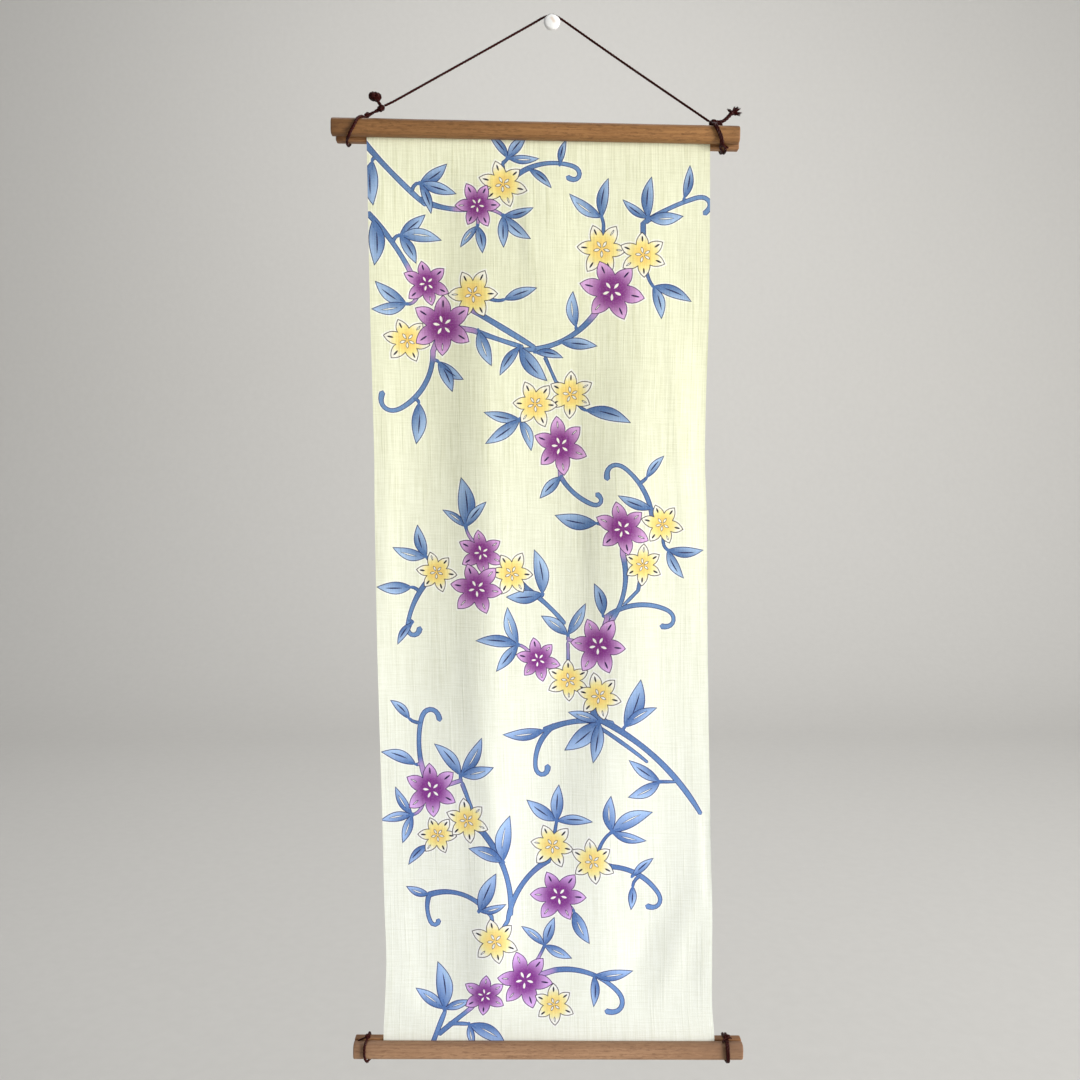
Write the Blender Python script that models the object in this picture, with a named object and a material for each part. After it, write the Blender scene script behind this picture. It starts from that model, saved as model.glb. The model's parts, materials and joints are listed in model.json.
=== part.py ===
# Printed cotton tenugui towel, hung as a scroll between two pairs of clamp bars.
#
# The cloth is held between a round-fronted batten and a flat slat at its top and bottom. Thin cord
# is tied round each pair of bars near both ends, and one more cord runs from the top left tie over
# a pin in the wall to the top right tie. Lengths are in metres. The wall is the plane y = 0, the
# cloth faces -Y, and the origin is where the pin's axis meets the wall.

import math

import bmesh
import bpy
from mathutils import Vector

for leftover in list(bpy.data.objects):
    bpy.data.objects.remove(leftover, do_unlink=True)

# How the hanging lies: it tips a little on its pin, so bars and cloth slant alike.
BAR_TILT = math.radians(0.776)
CLOTH_LEAN = math.radians(0.684)
SEAT_GAP = 0.0003

# Cloth, measured flat. Its ends are gripped to the middle of the bars.
CLOTH_WIDTH = 0.330
CLOTH_LENGTH = 0.900
CLOTH_THICKNESS = 0.0010
CLOTH_MIDDLE_Y = -0.0124
CLOTH_TOP_CENTRE = (-0.0127, -0.1062)
CLOTH_CELLS_ACROSS = 36
CLOTH_CELLS_DOWN = 60
# Beyond these fractions of the length the cloth is flat in the bars' grip.
GRIP_END = 0.0140
GRIP_START = 0.9880
# The folds reach their full depth over this fraction of the length.
FOLD_RUN_IN = 0.0750

# How far each side edge is drawn in by the folds, in millimetres, at fractions of the length.
SIDE_STATIONS = (0.00, 0.18, 0.29, 0.35, 0.40, 0.57, 0.73, 0.84, 0.90, 0.95, 0.99)
LEFT_DRAWN_IN = (0.0, 0.1, 1.0, 1.4, 0.9, 0.9, 2.5, 3.3, 4.2, 2.0, 0.0)
RIGHT_DRAWN_IN = (0.0, 1.6, 4.9, 5.9, 4.6, 4.4, 3.1, 1.5, 2.0, 2.2, 0.0)

# The main folds. Each has a half width, as a fraction of the cloth's width, then its place across
# the cloth (0 left, 1 right) and its height towards the front in millimetres at each station.
FOLD_STATIONS = (0.10, 0.30, 0.45, 0.60, 0.75, 0.90)
FOLDS = {
    "left trough": (0.085, (0.19, 0.15, 0.14, 0.11, 0.09, 0.15), (-4.6, -5.6, -5.2, -4.4, -1.6, -2.4)),
    "left ridge": (0.055, (0.33, 0.33, 0.34, 0.33, 0.33, 0.32), (0.5, 2.8, 2.8, 3.6, 3.2, 4.0)),
    "middle trough": (0.080, (0.52, 0.55, 0.56, 0.56, 0.51, 0.51), (3.0, -2.0, -2.9, -3.0, -2.0, -0.6)),
    "right ridge": (0.075, (0.77, 0.78, 0.74, 0.73, 0.66, 0.61), (1.8, 4.8, 5.2, 3.4, 2.6, 1.2)),
    "right hollow": (0.080, (0.90, 0.92, 0.92, 0.92, 0.88, 0.82), (-0.3, 0.0, 0.0, -0.4, -1.6, -2.4)),
    "right edge curl": (0.035, (1.00, 1.00, 1.00, 1.00, 1.00, 1.00), (0.0, -3.0, -2.4, -0.8, 0.0, 0.6)),
}

# Clamp bars. A batten's front is round; both back corners and the slats are only eased.
BATTEN_HEIGHT = 0.0165
BATTEN_DEPTH = 0.0100
BATTEN_BACK_Y = -0.0132
BATTEN_FRONT_RADIUS = 0.0055
SLAT_HEIGHT = 0.0185
SLAT_DEPTH = 0.0090
SLAT_BACK_Y = -0.0026
EASED_RADIUS = 0.0015
CORNER_STEPS = 5
END_ROUNDING = 0.0012

# name: (length, centre x, centre z, is a batten)
BARS = {
    "top_front_batten": (0.390, -0.0153, -0.1064, True),
    "top_back_slat": (0.388, -0.0131, -0.1088, False),
    "bottom_front_batten": (0.386, -0.0029, -1.0054, True),
    "bottom_back_slat": (0.386, -0.0029, -1.0058, False),
}

# Wall pin: a barrel against the wall, a wider round head and a steel needle.
PIN_BARREL_RADIUS = 0.0074
PIN_BARREL_LENGTH = 0.0048
PIN_HEAD_RADIUS = 0.0081
PIN_HEAD_LENGTH = 0.0052
PIN_HEAD_ROUNDING = 0.0020
NEEDLE_RADIUS = 0.0006
NEEDLE_LENGTH = 0.0090

# Cords.
CORD_RADIUS = 0.00115
THIN_CORD_RADIUS = 0.0006
CORD_POINT_STEP = 0.0048
LOOP_POINT_STEP = 0.0032

# Routes, as millimetres across (x), out from the wall (y) and up (z).
HANGING_CORD_LEFT = (
    (-160.3, -13.2, -82.6),
    (-152.8, -12.8, -78.9),
    (-145.5, -12.4, -74.8),
    (-107.4, -10.0, -52.6),
    (-69.1, -7.5, -30.3),
    (-21.0, -4.2, -2.0),
    (-9.7, -3.2, 5.0),
)
HANGING_CORD_RIGHT = (
    (9.4, -3.2, 4.3),
    (22.4, -4.4, -5.1),
    (46.4, -6.3, -22.3),
    (84.8, -9.5, -49.5),
    (142.2, -14.2, -89.5),
    (150.9, -14.8, -95.5),
)
TOP_LEFT_LOOP = (
    (-178.9, -14.6, -94.5),
    (-181.4, -18.6, -94.2),
    (-184.2, -22.6, -96.4),
    (-186.0, -24.6, -100.0),
    (-188.7, -24.95, -105.6),
    (-190.7, -24.8, -109.6),
    (-192.2, -23.2, -113.2),
    (-193.2, -19.0, -114.3),
    (-193.4, -15.0, -114.7),
    (-193.5, -12.5, -116.7),
    (-193.6, -8.6, -117.5),
    (-193.4, -4.2, -117.5),
    (-193.3, -1.5, -116.4),
    (-192.6, -0.9, -113.2),
    (-189.0, -0.9, -107.0),
    (-184.6, -0.9, -100.0),
    (-181.6, -2.4, -95.6),
    (-179.8, -6.0, -94.9),
    (-178.6, -10.6, -94.4),
)
TOP_RIGHT_LOOP_LEFT = (
    (153.6, -18.3, -98.7),
    (154.0, -21.4, -99.7),
    (155.0, -24.5, -103.6),
    (157.0, -24.95, -107.6),
    (158.8, -24.95, -111.6),
    (160.2, -24.2, -116.4),
    (160.6, -20.4, -119.6),
    (161.4, -15.4, -119.7),
    (163.4, -12.4, -121.6),
    (164.6, -7.8, -122.4),
    (164.6, -2.8, -122.0),
    (163.4, -0.9, -118.6),
    (159.0, -0.9, -108.0),
    (155.0, -1.2, -101.4),
    (153.3, -4.6, -99.3),
    (152.9, -9.0, -99.0),
    (152.8, -12.0, -98.8),
)
TOP_RIGHT_LOOP_RIGHT = (
    (156.2, -17.6, -98.9),
    (157.2, -21.4, -99.8),
    (158.0, -24.5, -103.8),
    (159.9, -24.95, -107.9),
    (161.6, -24.95, -111.8),
    (162.9, -24.2, -116.5),
    (164.2, -20.4, -119.8),
    (166.2, -15.4, -119.9),
    (167.4, -12.4, -121.8),
    (167.4, -7.8, -122.5),
    (167.2, -2.8, -122.1),
    (166.2, -0.9, -118.6),
    (161.8, -0.9, -108.0),
    (158.0, -1.2, -101.5),
    (156.4, -4.6, -99.4),
    (156.0, -9.0, -99.0),
    (155.8, -12.4, -99.0),
)
BOTTOM_LEFT_LOOP = (
    (-182.9, -15.6, -992.8),
    (-183.8, -19.6, -993.0),
    (-184.6, -23.2, -995.4),
    (-185.0, -24.95, -999.6),
    (-185.0, -24.95, -1004.4),
    (-184.2, -24.4, -1009.0),
    (-182.8, -21.6, -1012.6),
    (-181.2, -17.4, -1013.0),
    (-180.2, -13.0, -1013.7),
    (-179.8, -9.0, -1014.6),
    (-179.8, -4.4, -1014.6),
    (-179.9, -1.6, -1012.8),
    (-180.1, -0.9, -1010.6),
    (-181.2, -0.9, -1002.0),
    (-181.8, -0.9, -996.4),
    (-182.0, -1.6, -993.4),
    (-182.1, -4.2, -992.2),
    (-182.2, -7.2, -992.3),
    (-182.2, -10.4, -992.2),
)
BOTTOM_RIGHT_LOOP_LEFT = (
    (173.0, -15.9, -997.8),
    (172.7, -20.0, -997.9),
    (172.5, -23.4, -1000.3),
    (172.5, -24.95, -1004.6),
    (172.7, -24.95, -1009.2),
    (173.0, -23.9, -1014.2),
    (173.3, -20.4, -1017.4),
    (173.6, -15.6, -1017.8),
    (173.8, -12.2, -1018.8),
    (173.9, -8.6, -1019.4),
    (173.9, -4.2, -1019.4),
    (173.8, -1.6, -1017.6),
    (173.7, -0.9, -1015.4),
    (173.2, -0.9, -1006.0),
    (173.0, -0.9, -1001.2),
    (172.9, -1.6, -998.2),
    (172.9, -4.2, -997.0),
    (172.9, -7.2, -997.1),
    (173.0, -10.2, -997.1),
)
BOTTOM_RIGHT_LOOP_RIGHT = (
    (175.8, -15.7, -997.9),
    (175.7, -20.0, -998.0),
    (175.6, -23.4, -1000.4),
    (175.6, -24.95, -1004.7),
    (175.8, -24.95, -1009.3),
    (176.0, -23.9, -1014.3),
    (176.3, -20.4, -1017.5),
    (176.5, -15.6, -1017.9),
    (176.6, -12.2, -1018.9),
    (176.7, -8.6, -1019.5),
    (176.7, -4.2, -1019.5),
    (176.6, -1.6, -1017.7),
    (176.6, -0.9, -1015.5),
    (176.2, -0.9, -1006.0),
    (176.0, -0.9, -1001.3),
    (175.9, -1.6, -998.3),
    (175.9, -4.2, -997.1),
    (175.8, -7.2, -997.2),
    (175.7, -10.3, -997.2),
)
LEFT_LINK_UPPER = ((-175.3, -13.4, -90.3), (-171.6, -13.4, -88.0), (-168.0, -13.3, -86.3), (-165.0, -13.2, -85.0))
LEFT_LINK_LOWER = ((-174.2, -13.4, -92.4), (-170.5, -13.4, -90.2), (-166.8, -13.3, -88.5), (-164.0, -13.2, -87.7))
LEFT_TAIL = ((-163.9, -14.0, -81.9), (-164.6, -14.3, -80.8), (-165.2, -14.5, -79.9))
RIGHT_TAIL = (
    (157.4, -14.6, -95.6),
    (160.0, -14.4, -95.3),
    (162.6, -14.2, -95.0),
    (165.1, -14.0, -94.6),
    (167.9, -14.0, -93.7),
    (170.5, -14.0, -91.5),
    (173.4, -14.0, -88.4),
)
RIGHT_STUB = ((157.4, -15.1, -98.2), (160.8, -14.9, -98.8), (163.4, -14.8, -99.2))
BOTTOM_LEFT_TAIL = ((-184.8, -13.6, -991.8), (-188.0, -14.2, -992.9), (-191.4, -15.0, -993.6))
BOTTOM_RIGHT_TAIL = ((172.5, -15.6, -994.9), (170.6, -17.6, -996.8), (170.0, -19.2, -998.0))
BOTTOM_RIGHT_STUB = ((176.8, -13.4, -995.9), (178.4, -13.8, -996.4), (179.8, -14.2, -997.0))

# Knots: centre in millimetres, then the three half sizes and the turn about Y in degrees.
KNOTS = {
    "left_ring_knot": ((-176.8, -13.0, -92.4), (1.9, 2.3, 2.0), 30.0),
    "left_cord_knot": ((-162.2, -13.2, -84.6), (2.3, 2.4, 3.0), 30.0),
    "left_ball_knot": ((-168.6, -14.5, -74.6), (6.0, 4.6, 4.9), -20.0),
    "right_cord_knot": ((154.1, -15.0, -96.5), (2.9, 2.9, 2.7), 0.0),
    "bottom_left_knot": ((-182.2, -13.0, -991.3), (2.0, 2.3, 2.3), 0.0),
    "bottom_right_knot": ((174.3, -13.0, -995.2), (2.2, 2.4, 2.1), 0.0),
}

# Frayed tassel at the end of the right tail.
TASSEL_CENTRE = (174.9, -14.0, -86.8)
TASSEL_HEAD_RADIUS = 1.5
TASSEL_STRANDS = 14
TASSEL_STRAND_LENGTH = 6.0
TASSEL_STRAND_WIDTH = 0.5
TASSEL_DIRECTION = (0.62, -0.10, 0.40)


def millimetres(values):
    """Turns a point given in millimetres into a vector in metres."""
    return Vector(values) * 0.001


def new_material(name, colour, roughness, metallic=0.0):
    """Makes a plain surface of one colour."""
    material = bpy.data.materials.new(name)
    material.use_nodes = True
    shader = material.node_tree.nodes["Principled BSDF"]
    shader.inputs["Base Color"].default_value = (*colour, 1.0)
    shader.inputs["Roughness"].default_value = roughness
    shader.inputs["Metallic"].default_value = metallic
    material.diffuse_color = (*colour, 1.0)
    return material


def add_object(name, mesh, material, smooth=True):
    """Links a finished mesh into the scene as one named sub-part."""
    bmesh_data = bmesh.new()
    bmesh_data.from_mesh(mesh)
    bmesh.ops.recalc_face_normals(bmesh_data, faces=bmesh_data.faces)
    bmesh_data.to_mesh(mesh)
    bmesh_data.free()
    for face in mesh.polygons:
        face.use_smooth = smooth
    mesh.materials.append(material)
    part = bpy.data.objects.new(name, mesh)
    bpy.context.scene.collection.objects.link(part)
    return part


def curve_through(stations, values, place):
    """Reads a smooth curve through values that stand at uneven stations."""
    if place <= stations[0]:
        return values[0]
    if place >= stations[-1]:
        return values[-1]
    last = len(stations) - 1
    left = max(index for index in range(last) if stations[index] <= place)
    width = stations[left + 1] - stations[left]
    step = (place - stations[left]) / width

    def slope(index):
        if index in (0, last):
            return 0.0
        return (values[index + 1] - values[index - 1]) / (stations[index + 1] - stations[index - 1])

    rise = values[left + 1] - values[left]
    start = slope(left) * width
    end = slope(left + 1) * width
    cubic = start + end - 2.0 * rise
    square = 3.0 * rise - 2.0 * start - end
    return values[left] + step * (start + step * (square + step * cubic))


def ramp(value, low, high):
    """Rises smoothly from 0 at low to 1 at high."""
    step = min(1.0, max(0.0, (value - low) / (high - low)))
    return step * step * (3.0 - 2.0 * step)


def fold_height(across, down):
    """Height of the cloth's folds towards the front at a point of the cloth."""
    height = 0.0
    for half_width, places, heights in FOLDS.values():
        centre = curve_through(FOLD_STATIONS, places, down)
        peak = curve_through(FOLD_STATIONS, heights, down)
        height += peak * math.exp(-0.5 * ((across - centre) / half_width) ** 2)
    free = ramp(down, GRIP_END, GRIP_END + FOLD_RUN_IN)
    free *= 1.0 - ramp(down, GRIP_START - FOLD_RUN_IN, GRIP_START)
    return 0.001 * height * free


def cloth_point(across, down, outward=0.0):
    """Point of the hanging cloth: across from 0 to 1, down from 0 to 1, outward from its middle."""
    left = 0.001 * curve_through(SIDE_STATIONS, LEFT_DRAWN_IN, down)
    right = 0.001 * curve_through(SIDE_STATIONS, RIGHT_DRAWN_IN, down)
    along = (across - 0.5) * CLOTH_WIDTH + left * (1.0 - across) - right * across
    drop = down * CLOTH_LENGTH
    x = CLOTH_TOP_CENTRE[0] + along * math.cos(BAR_TILT) + drop * math.sin(CLOTH_LEAN)
    z = CLOTH_TOP_CENTRE[1] - along * math.sin(BAR_TILT) - drop * math.cos(CLOTH_LEAN)
    y = CLOTH_MIDDLE_Y - fold_height(across, down) - outward
    return Vector((x, y, z))


def make_cloth():
    """Hangs the towel: one folded sheet with a front, a back and closed edges."""
    columns = CLOTH_CELLS_ACROSS + 1
    rows = CLOTH_CELLS_DOWN + 1
    cloth = bmesh.new()
    layers = []
    for outward in (0.5 * CLOTH_THICKNESS, -0.5 * CLOTH_THICKNESS):
        grid = []
        for row in range(rows):
            down = row / CLOTH_CELLS_DOWN
            line = []
            for column in range(columns):
                across = column / CLOTH_CELLS_ACROSS
                line.append(cloth.verts.new(cloth_point(across, down, outward)))
            grid.append(line)
        layers.append(grid)
    front, back = layers
    for row in range(rows - 1):
        for column in range(columns - 1):
            for grid in layers:
                corners = (
                    grid[row][column],
                    grid[row + 1][column],
                    grid[row + 1][column + 1],
                    grid[row][column + 1],
                )
                cloth.faces.new(corners)
    rim = [(0, column) for column in range(columns)]
    rim += [(row, columns - 1) for row in range(1, rows)]
    rim += [(rows - 1, column) for column in range(columns - 2, -1, -1)]
    rim += [(row, 0) for row in range(rows - 2, 0, -1)]
    for index, here in enumerate(rim):
        there = rim[(index + 1) % len(rim)]
        corners = (
            front[here[0]][here[1]],
            front[there[0]][there[1]],
            back[there[0]][there[1]],
            back[here[0]][here[1]],
        )
        cloth.faces.new(corners)
    mesh = bpy.data.meshes.new("cloth")
    cloth.to_mesh(mesh)
    cloth.free()
    return add_object("cloth", mesh, new_material("printed_cotton", (0.83, 0.85, 0.72), 0.9))


def rounded_section(back_y, depth, height, front_radius, back_radius):
    """Outline of a bar across its length: points (y, z) round a rectangle with eased corners."""
    corners = (
        (back_y - depth + front_radius, 0.5 * height - front_radius, front_radius, 90.0),
        (back_y - depth + front_radius, front_radius - 0.5 * height, front_radius, 180.0),
        (back_y - back_radius, back_radius - 0.5 * height, back_radius, 270.0),
        (back_y - back_radius, 0.5 * height - back_radius, back_radius, 0.0),
    )
    outline = []
    for centre_y, centre_z, radius, start in corners:
        for step in range(CORNER_STEPS + 1):
            angle = math.radians(start + 90.0 * step / CORNER_STEPS)
            outline.append((centre_y + radius * math.cos(angle), centre_z + radius * math.sin(angle)))
    return outline


def make_bar(name, length, centre_x, centre_z, is_batten, material):
    """Planes a bar of one section, with softened ends, and lays it along the slant."""
    if is_batten:
        outline = rounded_section(
            BATTEN_BACK_Y, BATTEN_DEPTH, BATTEN_HEIGHT, BATTEN_FRONT_RADIUS, EASED_RADIUS
        )
        middle_y = BATTEN_BACK_Y - 0.5 * BATTEN_DEPTH
    else:
        outline = rounded_section(SLAT_BACK_Y, SLAT_DEPTH, SLAT_HEIGHT, EASED_RADIUS, EASED_RADIUS)
        middle_y = SLAT_BACK_Y - 0.5 * SLAT_DEPTH
    half = 0.5 * length
    rings = (
        (-half, END_ROUNDING),
        (-half + 0.3 * END_ROUNDING, 0.3 * END_ROUNDING),
        (-half + END_ROUNDING, 0.0),
        (half - END_ROUNDING, 0.0),
        (half - 0.3 * END_ROUNDING, 0.3 * END_ROUNDING),
        (half, END_ROUNDING),
    )
    bar = bmesh.new()
    loops = []
    for along, shrink in rings:
        loop = []
        for y, z in outline:
            inward_y = y + shrink * (middle_y - y) / (0.5 * BATTEN_DEPTH)
            inward_z = z - shrink * z / (0.5 * BATTEN_HEIGHT)
            x = centre_x + along * math.cos(BAR_TILT) + inward_z * math.sin(BAR_TILT)
            up = centre_z - along * math.sin(BAR_TILT) + inward_z * math.cos(BAR_TILT)
            loop.append(bar.verts.new((x, inward_y, up)))
        loops.append(loop)
    for first, second in zip(loops, loops[1:]):
        for index in range(len(outline)):
            following = (index + 1) % len(outline)
            bar.faces.new((first[index], first[following], second[following], second[index]))
    bar.faces.new(loops[0])
    bar.faces.new(loops[-1])
    mesh = bpy.data.meshes.new(name)
    bar.to_mesh(mesh)
    bar.free()
    part = add_object(name, mesh, material)
    mesh.set_sharp_from_angle(angle=math.radians(40.0))
    return part


def turned(name, profile, material, steps=32):
    """Turns a profile of (radius, y) points about the pin's axis."""
    shape = bmesh.new()
    rings = []
    for radius, y in profile:
        if radius == 0.0:
            rings.append([shape.verts.new((0.0, y, 0.0))])
            continue
        ring = []
        for step in range(steps):
            angle = 2.0 * math.pi * step / steps
            ring.append(shape.verts.new((radius * math.cos(angle), y, radius * math.sin(angle))))
        rings.append(ring)
    for first, second in zip(rings, rings[1:]):
        for step in range(steps):
            following = (step + 1) % steps
            if len(first) == 1:
                shape.faces.new((first[0], second[step], second[following]))
            elif len(second) == 1:
                shape.faces.new((first[step], first[following], second[0]))
            else:
                shape.faces.new((first[step], first[following], second[following], second[step]))
    mesh = bpy.data.meshes.new(name)
    shape.to_mesh(mesh)
    shape.free()
    part = add_object(name, mesh, material)
    mesh.set_sharp_from_angle(angle=math.radians(35.0))
    return part


def make_pin():
    """Makes the pin's plastic head and, just behind it, the needle that goes into the wall."""
    front = -PIN_BARREL_LENGTH - PIN_HEAD_LENGTH
    profile = [(0.0, 0.0), (PIN_BARREL_RADIUS, 0.0)]
    profile.append((PIN_BARREL_RADIUS, -PIN_BARREL_LENGTH + 0.0004))
    profile.append((PIN_HEAD_RADIUS - 0.0002, -PIN_BARREL_LENGTH))
    profile.append((PIN_HEAD_RADIUS, -PIN_BARREL_LENGTH - 0.0006))
    for step in range(5):
        angle = math.radians(90.0 * step / 4)
        radius = PIN_HEAD_RADIUS - PIN_HEAD_ROUNDING * (1.0 - math.cos(angle))
        profile.append((radius, front + PIN_HEAD_ROUNDING * (1.0 - math.sin(angle)) - 0.0002))
    profile.append((0.5 * PIN_HEAD_RADIUS, front - 0.0005))
    profile.append((0.0, front - 0.0006))
    turned("wall_pin_head", profile, new_material("white_plastic", (0.9, 0.9, 0.88), 0.35))
    needle = [
        (0.0, SEAT_GAP),
        (NEEDLE_RADIUS, SEAT_GAP),
        (NEEDLE_RADIUS, NEEDLE_LENGTH - 0.002),
        (0.0, NEEDLE_LENGTH),
    ]
    turned("wall_pin_needle", needle, new_material("pin_steel", (0.6, 0.6, 0.62), 0.3, 1.0), 12)


def smooth_route(points, spacing):
    """Lays points an even distance apart on a smooth curve through the route's points."""
    ends = [2.0 * points[0] - points[1]] + list(points) + [2.0 * points[-1] - points[-2]]
    dense = []
    for before, start, end, after in zip(ends, ends[1:], ends[2:], ends[3:]):
        for step in range(16):
            s = step / 16
            bend = 2.0 * before - 5.0 * start + 4.0 * end - after
            twist = 3.0 * start - before - 3.0 * end + after
            dense.append(0.5 * (2.0 * start + s * (end - before) + s * s * bend + s * s * s * twist))
    dense.append(points[-1])
    total = sum((there - here).length for here, there in zip(dense, dense[1:]))
    count = max(2, round(total / spacing))
    route = [dense[0]]
    walked = 0.0
    for here, there in zip(dense, dense[1:]):
        length = (there - here).length
        while len(route) < count and walked + length >= total * len(route) / count:
            share = (total * len(route) / count - walked) / length
            route.append(here.lerp(there, share))
        walked += length
    route.append(dense[-1])
    return route


def make_cord(name, points, material, radius=CORD_RADIUS, spacing=CORD_POINT_STEP):
    """Lays a round cord with closed ends along a route."""
    route = smooth_route(points, spacing)
    curve = bpy.data.curves.new(name, "CURVE")
    curve.dimensions = "3D"
    curve.bevel_depth = radius
    curve.bevel_resolution = 2
    curve.use_fill_caps = True
    spline = curve.splines.new("POLY")
    spline.points.add(len(route) - 1)
    for point, place in zip(spline.points, route):
        point.co = (*place, 1.0)
    spline.use_smooth = True
    curve.materials.append(material)
    cord = bpy.data.objects.new(name, curve)
    bpy.context.scene.collection.objects.link(cord)
    return cord


def hanging_route():
    """Route of the hanging cord: up from the left knot, over the pin's barrel, down to the right."""
    over_radius = 1000.0 * (PIN_BARREL_RADIUS + 2.0 * SEAT_GAP + CORD_RADIUS)
    points = [millimetres(point) for point in HANGING_CORD_LEFT]
    for degrees in (118.0, 104.0, 90.0, 76.0, 62.0):
        angle = math.radians(degrees)
        points.append(millimetres((over_radius * math.cos(angle), -2.6, over_radius * math.sin(angle))))
    points += [millimetres(point) for point in HANGING_CORD_RIGHT]
    return points


def make_knot(name, centre, half_sizes, degrees, material):
    """Makes a knot as the rounded lump that its drawn-up turns form."""
    knot = bmesh.new()
    bmesh.ops.create_uvsphere(knot, u_segments=14, v_segments=9, radius=1.0)
    middle = millimetres(centre)
    turn = math.radians(degrees)
    for vert in knot.verts:
        x, y, z = (vert.co[axis] * half_sizes[axis] * 0.001 for axis in range(3))
        across = x * math.cos(turn) - z * math.sin(turn)
        up = x * math.sin(turn) + z * math.cos(turn)
        vert.co = middle + Vector((across, y, up))
    mesh = bpy.data.meshes.new(name)
    knot.to_mesh(mesh)
    knot.free()
    return add_object(name, mesh, material)


def make_tassel(material):
    """Frays the cord's end: thin tapered strands that grow out of one small round head."""
    centre = millimetres(TASSEL_CENTRE)
    aim = Vector(TASSEL_DIRECTION).normalized()
    side = aim.cross(Vector((0.0, 1.0, 0.0))).normalized()
    lift = aim.cross(side)
    tassel = bmesh.new()
    bmesh.ops.create_icosphere(tassel, subdivisions=2, radius=0.001 * TASSEL_HEAD_RADIUS)
    tassel.faces.ensure_lookup_table()
    facing = sorted(tassel.faces, key=lambda face: -face.calc_center_median().dot(aim))
    for number, face in enumerate(facing[: 2 * TASSEL_STRANDS : 2]):
        root = face.calc_center_median()
        spread = 0.9 * math.sin(2.4 * number) * side + 0.6 * math.cos(2.4 * number) * lift
        reach = 0.001 * TASSEL_STRAND_LENGTH * (0.8 + 0.2 * math.sin(5.1 * number))
        tip = root + reach * (aim + 0.75 * spread).normalized()
        grown = bmesh.ops.extrude_discrete_faces(tassel, faces=[face])["faces"][0]
        for vert in grown.verts:
            vert.co = tip + 0.35 * TASSEL_STRAND_WIDTH * (vert.co - root)
    for vert in tassel.verts:
        vert.co += centre
    mesh = bpy.data.meshes.new("right_tassel")
    tassel.to_mesh(mesh)
    tassel.free()
    return add_object("right_tassel", mesh, material)


make_cloth()

batten_wood = new_material("batten_wood", (0.23, 0.13, 0.07), 0.5)
slat_wood = new_material("slat_wood", (0.36, 0.21, 0.10), 0.55)
for bar_name, (bar_length, bar_x, bar_z, batten) in BARS.items():
    make_bar(bar_name, bar_length, bar_x, bar_z, batten, batten_wood if batten else slat_wood)

make_pin()

cord_fibre = new_material("maroon_cord", (0.06, 0.015, 0.012), 0.7)
make_cord("hanging_cord", hanging_route(), cord_fibre)
for loop_name, route_points in {
    "top_left_loop": TOP_LEFT_LOOP,
    "top_right_loop_left": TOP_RIGHT_LOOP_LEFT,
    "top_right_loop_right": TOP_RIGHT_LOOP_RIGHT,
    "bottom_left_loop": BOTTOM_LEFT_LOOP,
    "bottom_right_loop_left": BOTTOM_RIGHT_LOOP_LEFT,
    "bottom_right_loop_right": BOTTOM_RIGHT_LOOP_RIGHT,
}.items():
    make_cord(loop_name, [millimetres(point) for point in route_points], cord_fibre, spacing=LOOP_POINT_STEP)
for end_name, route_points, end_radius in (
    ("left_link_upper", LEFT_LINK_UPPER, 0.0010),
    ("left_link_lower", LEFT_LINK_LOWER, 0.0010),
    ("left_tail", LEFT_TAIL, 0.0020),
    ("right_tail", RIGHT_TAIL, CORD_RADIUS),
    ("right_stub", RIGHT_STUB, 0.0010),
    ("bottom_left_tail", BOTTOM_LEFT_TAIL, THIN_CORD_RADIUS),
    ("bottom_right_tail", BOTTOM_RIGHT_TAIL, THIN_CORD_RADIUS),
    ("bottom_right_stub", BOTTOM_RIGHT_STUB, THIN_CORD_RADIUS),
):
    make_cord(end_name, [millimetres(point) for point in route_points], cord_fibre, end_radius, 0.0025)
for knot_name, (knot_centre, knot_sizes, knot_turn) in KNOTS.items():
    make_knot(knot_name, knot_centre, knot_sizes, knot_turn, cord_fibre)
make_tassel(cord_fibre)
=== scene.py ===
# %% [markdown]
# # A printed cotton towel, hung as a scroll
#
# The real thing is a tenugui: a long, thin cotton towel, here clamped between two pairs of wooden
# bars and hung by a cord from a pin. The solid model gives the sizes and the place of every piece.
# This lesson dresses it: each piece gets its fine form, its finish and its place in the same frame.
# Lengths are in metres, the wall is the plane y = 0 and the towel faces -Y.

import json
import math

import bpy
import numpy as np
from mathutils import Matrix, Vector, geometry

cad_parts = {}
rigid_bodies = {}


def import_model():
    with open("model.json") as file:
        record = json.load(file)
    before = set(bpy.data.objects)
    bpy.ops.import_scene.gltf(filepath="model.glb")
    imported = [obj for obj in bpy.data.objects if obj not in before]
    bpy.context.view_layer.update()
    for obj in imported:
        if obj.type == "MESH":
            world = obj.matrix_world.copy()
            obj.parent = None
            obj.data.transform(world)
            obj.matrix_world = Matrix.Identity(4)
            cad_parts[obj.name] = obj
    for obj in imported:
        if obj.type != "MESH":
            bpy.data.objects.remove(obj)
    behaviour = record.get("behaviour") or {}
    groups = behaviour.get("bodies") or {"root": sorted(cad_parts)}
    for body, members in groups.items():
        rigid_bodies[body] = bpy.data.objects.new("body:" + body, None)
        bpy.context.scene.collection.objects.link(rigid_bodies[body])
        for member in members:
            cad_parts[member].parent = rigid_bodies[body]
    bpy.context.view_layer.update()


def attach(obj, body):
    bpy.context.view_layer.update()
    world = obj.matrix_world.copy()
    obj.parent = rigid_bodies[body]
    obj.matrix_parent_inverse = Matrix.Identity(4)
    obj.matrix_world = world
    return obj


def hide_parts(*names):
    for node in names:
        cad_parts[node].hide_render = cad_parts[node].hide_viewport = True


for leftover in list(bpy.data.objects):
    bpy.data.objects.remove(leftover, do_unlink=True)

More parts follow.
